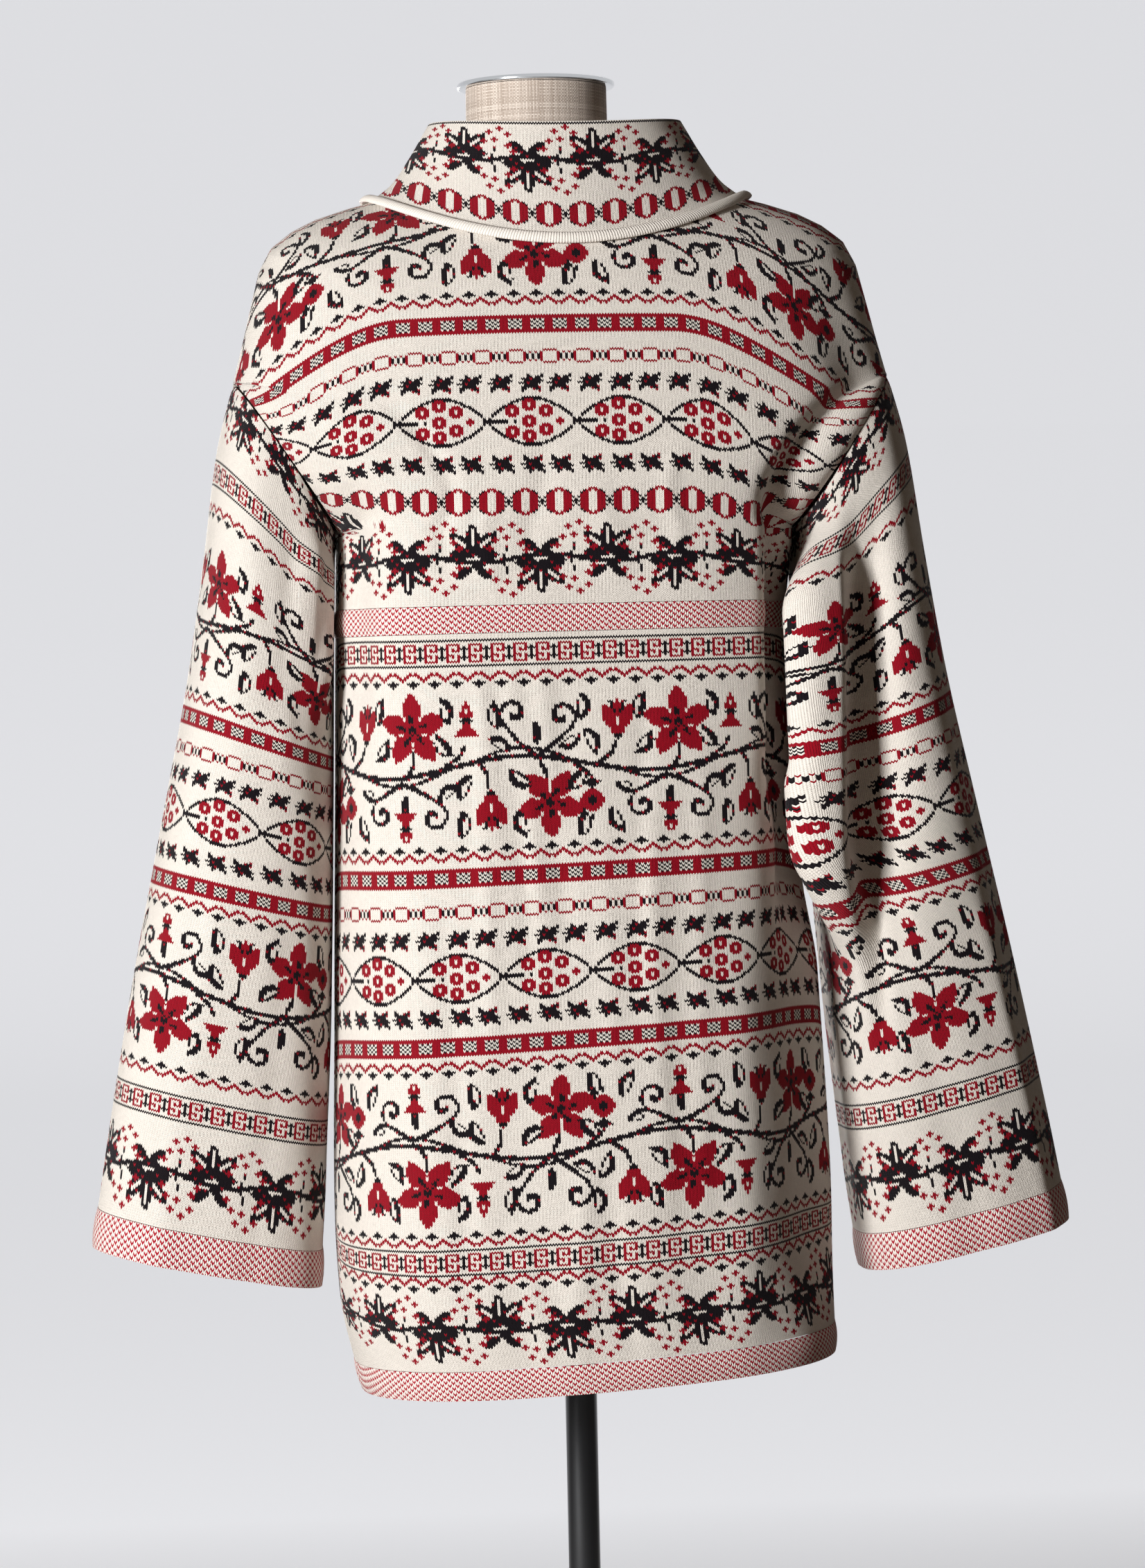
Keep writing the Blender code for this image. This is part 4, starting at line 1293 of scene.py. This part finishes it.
def finish_yarn(tree, colour, leg, in_course, wale, course):
    """Paints shade into the stitches' gaps, varies the stitches a little, and gives them relief and fuzz."""
    leg_gap = squared(tree, leg, -LEG_TIP, LEG_GAP)
    course_gap = squared(tree, in_course, -0.5, COURSE_GAP)
    gap = add(tree, "Math ADD", (leg_gap, course_gap))
    cell = add(tree, "CombineXYZ", (wale, course))
    varied = add(tree, "TexWhiteNoise", (cell,), noise_dimensions="3D")
    place = add(tree, "TexCoord").node.outputs["Object"]
    fuzz = add(tree, "TexNoise", {"Vector": place, "Scale": FUZZ_SCALE, "Detail": 2.0})
    cloudy = add(tree, "TexNoise", {"Vector": place, "Scale": CLOUD_SCALE, "Detail": 3.0})
    # Painted shade darkens the gaps beside each V's legs and between courses. The noises below add each
    # stitch's own tone, its fuzz and faint clouds.
    shade = add(tree, "Math MULTIPLY_ADD", (gap, -GAP_PAINTED_SHADE, LIT))
    for noise, share in ((varied, STITCH_SHADE), (fuzz, FUZZ_SHADE), (cloudy, CLOUD_SHADE)):
        shade = add(tree, "Math MULTIPLY_ADD", (noise, share, shade))
    relief = add(tree, "Math MULTIPLY_ADD", (gap, -0.6, fuzz))
    finish_cloth(tree, colour, shade, relief, bump=0.75, depth=0.0009)


# %% [markdown]
# The order of the bands is read off the cardigan from the bottom up. Each run of cloth has its own list:
# the skirt, the bodice above the waist, the collar, and the sleeves from the cuff up. Bands start on even
# courses, because the ramp that holds the list has one entry for every two courses.

# %% The runs of bands
SKIRT_BANDS = [
    (0, "leaf_vine", 1), (38, "scallops", -1), (46, "key", 1), (60, "scallops", 1), (70, "floral_vine", -1),
    (142, "scallops", -1), (152, "checks", 1), (166, "stars", -1), (176, "eyes", 1), (202, "stars", 1),
    (216, "beads", 1), (232, "checks", 1), (244, "scallops", 1), (254, "floral_vine", 1),
    (326, "scallops", -1), (336, "key", 1),
]
BODICE_BANDS = [
    (0, "blank", 1), (2, "leaf_vine", 1), (42, "ovals", 1), (62, "stars", -1), (74, "eyes", 1),
    (100, "stars", 1), (114, "beads", 1), (130, "checks", 1), (144, "scallops", 1), (154, "floral_vine", 1),
    (226, "scallops", -1), (238, "checks", 1), (252, "beads", 1),
]
COLLAR_BANDS = [(0, "blank", 1), (6, "ovals", 1), (20, "leaf_vine", 1), (58, "line", 1)]
SLEEVE_BANDS = [
    (0, "blank", 1), (2, "leaf_vine", 1), (46, "key", 1), (66, "scallops", 1), (78, "floral_vine", -1),
    (150, "scallops", -1), (160, "checks", 1), (174, "stars", -1), (186, "eyes", 1), (212, "stars", 1),
    (226, "beads", 1), (242, "checks", 1), (254, "scallops", 1), (266, "floral_vine", 1),
    (348, "scallops", -1), (364, "key", 1), (386, "leaf_vine", 1),
]
skirt_knit = knit_material("soft wool jacquard, skirt", SKIRT_BANDS)
bodice_knit = knit_material("soft wool jacquard, bodice", BODICE_BANDS)
collar_knit = knit_material("soft wool jacquard, collar", COLLAR_BANDS)
sleeve_knit = knit_material("soft wool jacquard, sleeve", SLEEVE_BANDS)
birdseye_knit = knit_material("wool birdseye, crimson and cream", None)
print("bands up the skirt:", len(SKIRT_BANDS), "and up a sleeve:", len(SLEEVE_BANDS))

# %% [markdown]
# ## The body of the cardigan
#
# The back and the two fronts are worked out from the same surface. The bands of birdseye are a little
# thicker, and swell between their edges like a hem that is turned and sewn.

# %% Panels of the body
SEAM_DIP = 0.0009
YOKE_SAG = 0.055  # how far the sleeves' weight pulls the bands down beside the armholes
SAG_WIDTH = (0.07, 0.22)  # the sag starts and is full at these distances from the middle
SAG_HEIGHT = (1.06, 1.18)  # and at these heights
LEFT_SAG_SHIFT = 0.05  # the wearer's left side sags further out


def swelling(rows, puff):
    """How far each row of a doubled band stands out."""
    share = np.linspace(-1, 1, rows)[:, None]
    return puff * (1 - share**2) - puff * 0.5


def join_armholes(normals, levels, angles):
    """Turns the normals along the armhole halfway to the sleeve's, so that the two walls meet flush."""
    for r, level in enumerate(levels):
        for c in (0, -1):
            angle = angles[r, c]
            if UNDERARM <= level <= SHOULDER and abs(abs(angle) - 90) < 2 * SIDE_SEAM_TURN:
                around = armhole_angle(level) * (1 if abs(angle) <= 90 else -1)
                other = mirrored(sleeve_normal(around, angle < 0), angle < 0)
                normals[r, c] = mitre(Vector(normals[r, c]), other)


def panel(name, levels, ends, cols, material, middle, thick=KNIT, lift=0.0, puff=0.0):
    """A piece of the cloth through these levels. ends(level) gives its first and last angle."""
    points, angles = [], []
    for level in levels:
        start, end = ends(level)
        turned = even_shares(start, end, lambda angle: cloth_point(level, angle), cols)
        angles.append(turned)
        points.append([cloth_point(level, angle) for angle in turned])
    points, angles = np.array(points), np.array(angles)
    normals = grid_normals(points)
    level_points = points.copy()  # with the droop of the hem taken out, because the courses droop with it
    level_points[..., 2] += points[..., 0] * np.array([droop(level) for level in levels])[:, None]
    stitches = stitch_map(level_points, normals, middle)
    across = np.where(points[..., 0] > 0, points[..., 0] - LEFT_SAG_SHIFT, -points[..., 0])
    stitches[..., 1] += YOKE_SAG * ramp(across, *SAG_WIDTH) * ramp(points[..., 2], *SAG_HEIGHT) / COURSE
    stands = np.array([body_fold(level, turned) for level, turned in zip(levels, angles)]) + lift
    if puff:
        stands = stands + swelling(len(levels), puff)
    else:
        stands = stands - SEAM_DIP * near_sides(stands.shape[1])
    join_armholes(normals, levels, angles)
    outer = points + normals * stands[..., None]
    inwards = grid_normals(outer)
    join_armholes(inwards, levels, angles)
    return wall(name, outer, outer - inwards * thick, stitches, material)


def levels_between(low, high, step=CLOTH_STEP):
    return [float(level) for level in np.linspace(low, high, max(2, round((high - low) / step)) + 1)]


def back_ends(level):
    return 90.0, -90.0


def front_ends(side, near=FRONT_EDGE, far=None):
    """Where a front starts and ends at each level. side is 1 on the wearer's left and -1 on the right."""

    def ends(level):
        middle = angle_at_x(level, side * near)
        outer = angle_at_x(level, side * far) if far else side * (90 + SIDE_SEAM_TURN)
        return (middle, outer) if side > 0 else (outer, middle)

    return ends


def keep_as(piece, node):
    """Puts a new piece in the place of its CAD node, on the one body."""
    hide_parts(node)
    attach(piece, "root")


def keep(piece):
    keep_as(piece, piece.name.removesuffix("_knit"))


BAND_STEP = 0.003
WELT_STEP = 0.0025
FINE_STEP = 0.0034
hem_levels = levels_between(HEM, HEM_BAND_TOP - HALF_SEAM, BAND_STEP)
skirt_levels = levels_between(HEM_BAND_TOP + HALF_SEAM, WELT_LOW - HALF_SEAM)
welt_levels = levels_between(WELT_LOW + HALF_SEAM, WELT_HIGH - HALF_SEAM, WELT_STEP)
bodice_levels = levels_between(WELT_HIGH + HALF_SEAM, COLLAR_SEAM - HALF_SEAM, FINE_STEP)
BACK_COLS = 128
FRONT_COLS = 62
FRONT_BAND_COLS = 6
BAND = {"thick": BAND_KNIT, "lift": BAND_LIFT, "puff": 0.0012}


# name at the back, name at the fronts, levels, material, and how a doubled band differs
STRIPS = (
    ("hem_band_back", "hem_band", hem_levels, birdseye_knit, BAND),
    ("back_lower", "front_lower", skirt_levels, skirt_knit, {}),
    ("waist_welt_back", "waist_welt", welt_levels, birdseye_knit, BAND),
    ("back_upper", "front_upper", bodice_levels, bodice_knit, {}),
)


def make_strips(column, ending, ends, cols, middle):
    """The four pieces of the back (column 0) or of one front (column 1), from the hem up."""
    for *names, levels, material, extra in STRIPS:
        made = panel(names[column] + ending, levels, ends, cols, material, middle, **extra)
        keep(made)


def make_body():
    make_strips(0, "_knit", back_ends, BACK_COLS, BACK_COLS // 2)
    band_levels = levels_between(HEM, COLLAR_SEAM - HALF_SEAM)
    for side, word in ((1, "left"), (-1, "right")):
        make_strips(1, f"_{word}_knit", front_ends(side), FRONT_COLS, 0 if side > 0 else FRONT_COLS)
        ends, middle = front_ends(side, SEAM, FRONT_BAND_WIDTH), FRONT_BAND_COLS // 2
        band = panel(
            f"front_band_{word}_knit", band_levels, ends, FRONT_BAND_COLS, birdseye_knit, middle,
            thick=BAND_KNIT, lift=BAND_LIFT,
        )
        keep(band)


make_body()

# %% [markdown]
# ## Sleeves
#
# Each sleeve is a straight wide tube, sewn into a dropped armhole. The right one carries the deepest fold
# of the whole cardigan, where the cloth doubles over beside the arm.

# %% The sleeves and cuffs
SLEEVE_COLS = 144


def sleeve_length():
    edge = [row[1:3] for row in SLEEVE_ROWS]
    return sum(math.dist(a, b) for a, b in zip(edge, edge[1:]))


def sleeve_piece(name, side, low, high, step, material, thick=KNIT, lift=0.0, puff=0.0):
    """A stretch of a sleeve, from the share high at the cuff's end up to the share low at the armhole's."""
    right = side < 0
    rows = max(2, round((high - low) * sleeve_length() / step))
    shares = [float(share) for share in np.linspace(high, low, rows + 1)]
    points, angles = [], []
    for share in shares:
        first = 180.0 * side
        turned = even_shares(first, 3 * first, lambda a: tuple(pleated(share, a, right)), SLEEVE_COLS)[:-1]
        angles.append(turned)
        ring = np.array([tuple(pleated(share, angle, right)) for angle in turned])
        if right:
            ring[:, 0] *= -1
        points.append(ring)
    points, angles = np.array(points), np.array(angles)
    normals = grid_normals(points, closed=True)
    stands = np.array([sleeve_fold(share, turned, right) for share, turned in zip(shares, angles)]) + lift
    if puff:
        stands = stands + swelling(len(shares), puff)
    if low == ARMHOLE_START:
        stands = stands - SEAM_DIP * bell(np.arange(len(shares))[::-1], SEAM_REACH)[:, None]
        join_sleeve(normals[-1], angles[-1], right)
    outer = points + normals * stands[..., None]
    inwards = grid_normals(outer, closed=True)
    if low == ARMHOLE_START:
        join_sleeve(inwards[-1], angles[-1], right)
    half_round = SLEEVE_ROUND / WALE / 2
    around = np.linspace(-half_round, half_round, SLEEVE_COLS + 1)
    courses = (high - np.array(shares)) * sleeve_length() / COURSE
    stitches = np.stack(np.meshgrid(around, courses), axis=2)
    return wall(name, outer, outer - inwards * thick, stitches, material, closed=True)


def join_sleeve(normals, angles, right):
    """Turns the sleeve's first normals halfway to the body's at the same place on the armhole."""
    for k, angle in enumerate(angles):
        turned = turn_between(0, angle)
        level = UNDERARM + (1 - abs(turned) / 180) * (SHOULDER - UNDERARM)
        place = 90 if turned >= 0 else 90 + SIDE_SEAM_TURN
        other = cloth_normal(level, -place if right else place)
        normals[k] = mitre(Vector(normals[k]), other)


def make_sleeves():
    cuff = 1 - CUFF_BAND_HEIGHT / sleeve_length()
    gap = HALF_SEAM / sleeve_length()
    for side, word in ((1, "left"), (-1, "right")):
        name = f"sleeve_{word}_knit"
        keep(sleeve_piece(name, side, ARMHOLE_START, cuff - gap, CLOTH_STEP, sleeve_knit))
        name = f"cuff_band_{word}_knit"
        keep(sleeve_piece(name, side, cuff + gap, 1.0, BAND_STEP, birdseye_knit, **BAND))


make_sleeves()
print("sleeve length down its outer edge in metres:", round(sleeve_length(), 3))

# %% [markdown]
# ## Collar
#
# The collar stands up like a wide funnel. Its seam is covered by a thin roll of cream knit with fine ribs
# across it.

# %% The collar and its rolled seam
COLLAR_COLS = 150
COLLAR_COURSES = 60
ROLL_COLS = 240
ROLL_SIDES = 10


def collar_angles(level, gap, count):
    """Angles round a level, anticlockwise from the left front's edge over the back to the right front's."""
    start, end = angle_at_x(level, gap), angle_at_x(level, -gap)
    return even_shares(start, end - 1e-9, lambda angle: cloth_point(level, angle), count)


def make_collar():
    levels = levels_between(COLLAR_SEAM + HALF_SEAM, COLLAR_RIM, FINE_STEP)
    angles = [collar_angles(level, SEAM, COLLAR_COLS) for level in levels]
    points = np.array([[cloth_point(level, a) for a in turned] for level, turned in zip(levels, angles)])
    normals = grid_normals(points)
    stitches = stitch_map(points, normals, COLLAR_COLS // 2)
    share = (np.array(levels) - COLLAR_SEAM) / (COLLAR_RIM - COLLAR_SEAM)
    stitches[..., 1] = share[:, None] * COLLAR_COURSES
    return wall("collar_knit", points, points - normals * KNIT, stitches, collar_knit)


def roll_material():
    """Plain cream wool in fine ribs across the roll, two stitches to a rib."""
    material, tree = new_material("cream wool, rolled edge")
    place = add(tree, "UVMap", uv_map="stitches")
    along_roll = add(tree, "SeparateXYZ", (place,)).node.outputs[0]
    in_rib = add(tree, "Math FRACT", (along_roll,))
    valley = squared(tree, in_rib, -0.5, 1.0)
    coordinates = add(tree, "TexCoord").node.outputs["Object"]
    fuzz = add(tree, "TexNoise", {"Vector": coordinates, "Scale": FUZZ_SCALE, "Detail": 2.0})
    # Painted shade darkens the valleys between the ribs.
    shade = add(tree, "Math MULTIPLY_ADD", (valley, -0.9, 1.0))
    shade = add(tree, "Math MULTIPLY_ADD", (fuzz, 0.12, shade))
    relief = add(tree, "Math MULTIPLY_ADD", (valley, -3.0, fuzz))
    finish_cloth(tree, CREAM[:3], shade, relief, bump=0.7, depth=0.0007, specular=0.15, sheen=0.12)
    return material


def make_collar_roll():
    """A flattened roll lying on the collar seam, open at the centre front, with round ends closed."""
    angles = collar_angles(COLLAR_SEAM, WELT_END_GAP, ROLL_COLS)
    place = np.array([cloth_point(COLLAR_SEAM, a) for a in angles])
    above = np.array([cloth_point(COLLAR_SEAM + 0.003, a) for a in angles])
    below = np.array([cloth_point(COLLAR_SEAM - 0.003, a) for a in angles])
    up = (above - below) / np.linalg.norm(above - below, axis=1, keepdims=True)
    forward = np.gradient(place, axis=0)
    normal = np.cross(forward, up)
    normal /= np.linalg.norm(normal, axis=1, keepdims=True)
    centre = place + normal * (COLLAR_WELT_THICKNESS / 2 + WELT_CLEARANCE)
    lengths = np.concatenate([[0.0], np.cumsum(np.linalg.norm(np.diff(centre, axis=0), axis=1))])
    points, faces, maps = [], [], []
    for k, middle in enumerate(centre):
        for s in range(ROLL_SIDES):
            t = 2 * math.pi * s / ROLL_SIDES
            out = normal[k] * math.cos(t) * COLLAR_WELT_THICKNESS / 2
            points.append(middle + out - up[k] * math.sin(t) * COLLAR_WELT_HEIGHT / 2)
    for k in range(len(centre) - 1):
        for s in range(ROLL_SIDES):
            a, b = k * ROLL_SIDES + s, k * ROLL_SIDES + (s + 1) % ROLL_SIDES
            faces.append((a, b, b + ROLL_SIDES, a + ROLL_SIDES))
            u, v = lengths[k] / WALE, lengths[k + 1] / WALE
            maps += [(u, s), (u, s + 1), (v, s + 1), (v, s)]
    last = (len(centre) - 1) * ROLL_SIDES
    faces.append(tuple(reversed(range(ROLL_SIDES))))
    faces.append(tuple(range(last, last + ROLL_SIDES)))
    maps += [(0.5, 0.5)] * (2 * ROLL_SIDES)
    mesh = bpy.data.meshes.new("collar_welt_knit")
    mesh.from_pydata([tuple(p) for p in points], [], faces)
    mesh.uv_layers.new(name="stitches").data.foreach_set("uv", np.array(maps, np.float32).ravel())
    mesh.materials.append(roll_material())
    mesh.shade_smooth()
    mesh.set_sharp_from_angle(angle=math.radians(60))
    made = bpy.data.objects.new("collar_welt_knit", mesh)
    bpy.context.scene.collection.objects.link(made)
    return made


keep(make_collar())
keep(make_collar_roll())

# %% [markdown]
# ## The dress form
#
# The form is a plain torso with no arms or head. It is covered in unbleached linen, woven plain from
# threads of two close shades, so its neck looks evenly speckled from afar. Only the neck shows, but the
# torso holds up the cloth, so it is modelled all through: one ring after another is extruded and fitted to
# its size.

# %% Linen
TORSO_ROWS = (
    (0.745, 0.1440, 0.1000, 0.0980),
    (0.765, 0.1500, 0.1040, 0.1020),
    (0.860, 0.1540, 0.1070, 0.1040),
    (0.950, 0.1380, 0.0930, 0.0930),
    (1.020, 0.1240, 0.0820, 0.0870),
    (1.090, 0.1300, 0.0880, 0.1000),
    (1.160, 0.1420, 0.0970, 0.1130),
    (1.230, 0.1520, 0.0980, 0.1020),
    (1.285, 0.1850, 0.0800, 0.0760),
    (1.318, 0.1900, 0.0600, 0.0560),
    (1.338, 0.1640, 0.0520, 0.0500),
    (1.350, 0.1250, 0.0500, 0.0500),
    (1.366, 0.0850, 0.0500, 0.0500),
    (1.385, 0.0600, 0.0500, 0.0500),
    (1.405, 0.0510, 0.0500, 0.0500),
    (1.446, 0.0505, 0.0505, 0.0505),
)
TORSO_BOXINESS = 2.2
NECK_START = 1.36
NECK_LEAN = 0.013
LEAN_START = 1.33
TORSO_SIDES = 72
NECK_RADIUS = 0.0505
THREAD = 0.0011  # real threads are 0.6 mm apart, too close to show


def linen_material():
    """Plain weave: the warp and the weft lie uppermost by turns, and each thread has its own shade."""
    material, tree = new_material("unbleached linen, plain weave")
    place = add(tree, "UVMap", uv_map="threads")
    threads = add(tree, "VectorMath SCALE", {0: place, 3: 1 / THREAD})
    split = add(tree, "SeparateXYZ", (threads,)).node
    warp = add(tree, "Math FLOOR", (split.outputs[0],))
    weft = add(tree, "Math FLOOR", (split.outputs[1],))
    both = add(tree, "Math ADD", (warp, weft))
    warp_over = add(tree, "Math FLOORED_MODULO", (both, 2.0))
    shades = []
    for number, offset in ((warp, 3.7), (weft, 9.1)):
        own = add(tree, "CombineXYZ", (number, offset))
        shades.append(add(tree, "TexWhiteNoise", (own,), noise_dimensions="3D"))
    shade = add(tree, "Mix", {0: warp_over, 2: shades[1], 3: shades[0]})
    colour = add(tree, "ValToRGB", (shade,))
    steps = colour.node.color_ramp
    steps.elements[0].color = linear("#B3A294")
    steps.elements[1].color = linear("#EADCCF")
    in_warp, in_weft = (add(tree, "Math FRACT", (split.outputs[k],)) for k in (0, 1))
    bent = add(tree, "Mix", {0: warp_over, 2: in_weft, 3: in_warp})
    hollow = squared(tree, bent, -0.5, 1.0)
    # Painted shade darkens the weave's hollows, where a thread dips under the next.
    painted_weave_shade = add(tree, "Math MULTIPLY_ADD", (hollow, -1.4, 1.0))
    relief = add(tree, "Math MULTIPLY", (hollow, -4.0))
    finish_cloth(
        tree, colour, painted_weave_shade, relief, bump=0.5, depth=0.0004, rough=0.88, specular=0.25, sheen=0.12, spread=0.5
    )
    return material


# %% The torso
def torso_point(turn, row):
    height, half_width, back, front = row
    c, s = math.cos(turn), math.sin(turn)
    power = 2 / (TORSO_BOXINESS if height < NECK_START else 2)
    across, deep = math.copysign(abs(c) ** power, c), math.copysign(abs(s) ** power, s)
    lean = NECK_LEAN * float(ramp(height, LEAN_START, TORSO_ROWS[-2][0]))
    return Vector((half_width * across + lean, (back if s > 0 else front) * deep, height))


def finer_rows():
    """Three rows between each two of the table, on a smooth curve."""
    columns = ("height", "half_width", "back", "front")
    rows = []
    for low, high in zip(TORSO_ROWS, TORSO_ROWS[1:]):
        rows += [low[0] + (high[0] - low[0]) * k / 3 for k in range(3)]
    rows.append(TORSO_ROWS[-1][0])
    return [(z, *(read(columns, TORSO_ROWS, name, z) for name in columns[1:])) for z in rows]


def make_torso():
    rows = finer_rows()
    turns = [2 * math.pi * k / TORSO_SIDES for k in range(TORSO_SIDES)]
    bpy.ops.object.select_all(action="DESELECT")
    bpy.ops.mesh.primitive_circle_add(vertices=TORSO_SIDES, radius=0.15, fill_type="NGON")
    torso = bpy.context.object
    torso.name = "form_torso_linen"
    bpy.ops.object.mode_set(mode="EDIT")
    shape = bmesh.from_edit_mesh(torso.data)
    for k, row in enumerate(rows):
        if k:
            rise = (0, 0, row[0] - rows[k - 1][0])
            bpy.ops.mesh.extrude_region_move(TRANSFORM_OT_translate={"value": rise})
            shape = bmesh.from_edit_mesh(torso.data)
        ring = [vertex for vertex in shape.verts if vertex.select]
        ring.sort(key=lambda vertex: math.atan2(vertex.co.y, vertex.co.x) % (2 * math.pi))
        for vertex, turn in zip(ring, turns):
            vertex.co = torso_point(turn, row)
        bmesh.update_edit_mesh(torso.data)
    bpy.ops.mesh.select_all(action="SELECT")
    bpy.ops.mesh.normals_make_consistent(inside=False)
    bpy.ops.object.mode_set(mode="OBJECT")
    weave = torso.data.uv_layers.new(name="threads")
    for face in torso.data.polygons:
        corners = [torso.data.vertices[v].co for v in face.vertices]
        angles = [math.atan2(corner.y, corner.x) for corner in corners]
        for loop, corner, angle in zip(face.loop_indices, corners, angles):
            if max(angles) - min(angles) > math.pi and angle < 0:
                angle += 2 * math.pi
            weave.data[loop].uv = (angle * NECK_RADIUS, corner.z)
    torso.data.materials.clear()
    torso.data.materials.append(linen_material())
    bpy.ops.object.shade_smooth_by_angle(angle=math.radians(40))
    return torso


torso = make_torso()
print("torso faces:", len(torso.data.polygons))
keep_as(torso, "form_torso")

# %% [markdown]
# The neck ends in a polished cap: a disc of chromed steel with a rounded rim. Chrome has hardly a colour
# of its own, and its look comes from what it mirrors, so a very faint haze is all that its finish needs.

# %% Chrome, gloss paint and the hardware
CAP_RADIUS = 0.0565
CAP_LOW = 1.4463
CAP_TOP = 1.450
CAP_RIM = 0.0013
POLE_RADIUS = 0.0115
POLE_TOP = 0.7447
POLE_RIM = 0.0006
BASE_RADIUS = 0.190
BASE_THICKNESS = 0.008
BASE_RIM = 0.0022


def hard_material(name, colour, metallic, roughness, haze, haze_scale):
    """A smooth hard finish whose roughness wanders a little, as from handling."""
    material, tree = new_material(name)
    place = add(tree, "TexCoord").node.outputs["Object"]
    cloud = add(tree, "TexNoise", {"Vector": place, "Scale": haze_scale, "Detail": 4.0})
    rough = add(tree, "Math MULTIPLY_ADD", (cloud, haze, roughness - haze / 2))
    lit = add(tree, "Math MULTIPLY_ADD", (cloud, 0.06, 0.97))
    grey = add(tree, "CombineXYZ", (lit, lit, lit))
    tint = add(tree, "VectorMath MULTIPLY", (linear(colour)[:3], grey))
    shader = add(tree, "BsdfPrincipled", {"Base Color": tint, "Metallic": metallic, "Roughness": rough})
    add(tree, "OutputMaterial", {"Surface": shader})
    return material


def turned_piece(name, radius, low, high, rim, material, sides=96, middle_x=0.0):
    """A cylinder with rounded rims, closed at both ends."""
    bpy.ops.object.select_all(action="DESELECT")
    bpy.ops.mesh.primitive_cylinder_add(
        vertices=sides, radius=radius, depth=high - low, location=(middle_x, 0, (low + high) / 2)
    )
    made = bpy.context.object
    made.name = name
    bpy.ops.object.transform_apply(location=True, rotation=True, scale=True)
    bpy.ops.object.mode_set(mode="EDIT")
    bpy.ops.mesh.select_mode(type="EDGE")
    bpy.ops.mesh.select_all(action="DESELECT")
    shape = bmesh.from_edit_mesh(made.data)
    for edge in shape.edges:
        edge.select = abs(edge.verts[0].co.z - edge.verts[1].co.z) < 1e-6
    bmesh.update_edit_mesh(made.data)
    bpy.ops.mesh.bevel(offset=rim, segments=4, affect="EDGES")
    bpy.ops.object.mode_set(mode="OBJECT")
    made.data.materials.clear()
    made.data.materials.append(material)
    bpy.ops.object.shade_smooth_by_angle(angle=math.radians(35))
    return made


chrome = hard_material("polished chrome", "#D8DADC", metallic=1.0, roughness=0.10, haze=0.06, haze_scale=60.0)
gloss_black = hard_material(
    "black gloss paint", "#0B0B0D", metallic=0.0, roughness=0.14, haze=0.08, haze_scale=25.0
)
cap = turned_piece("neck_cap_chrome", CAP_RADIUS, CAP_LOW, CAP_TOP, CAP_RIM, chrome, middle_x=NECK_LEAN)
pole = turned_piece(
    "pole_gloss", POLE_RADIUS, BASE_THICKNESS + SEAM, POLE_TOP, POLE_RIM, gloss_black, sides=48
)
base = turned_piece("base_gloss", BASE_RADIUS, 0.0, BASE_THICKNESS, BASE_RIM, gloss_black, sides=128)
keep_as(cap, "neck_cap")
keep_as(pole, "pole")
keep_as(base, "base")
print("cap, pole and base faces:", [len(made.data.polygons) for made in (cap, pole, base)])
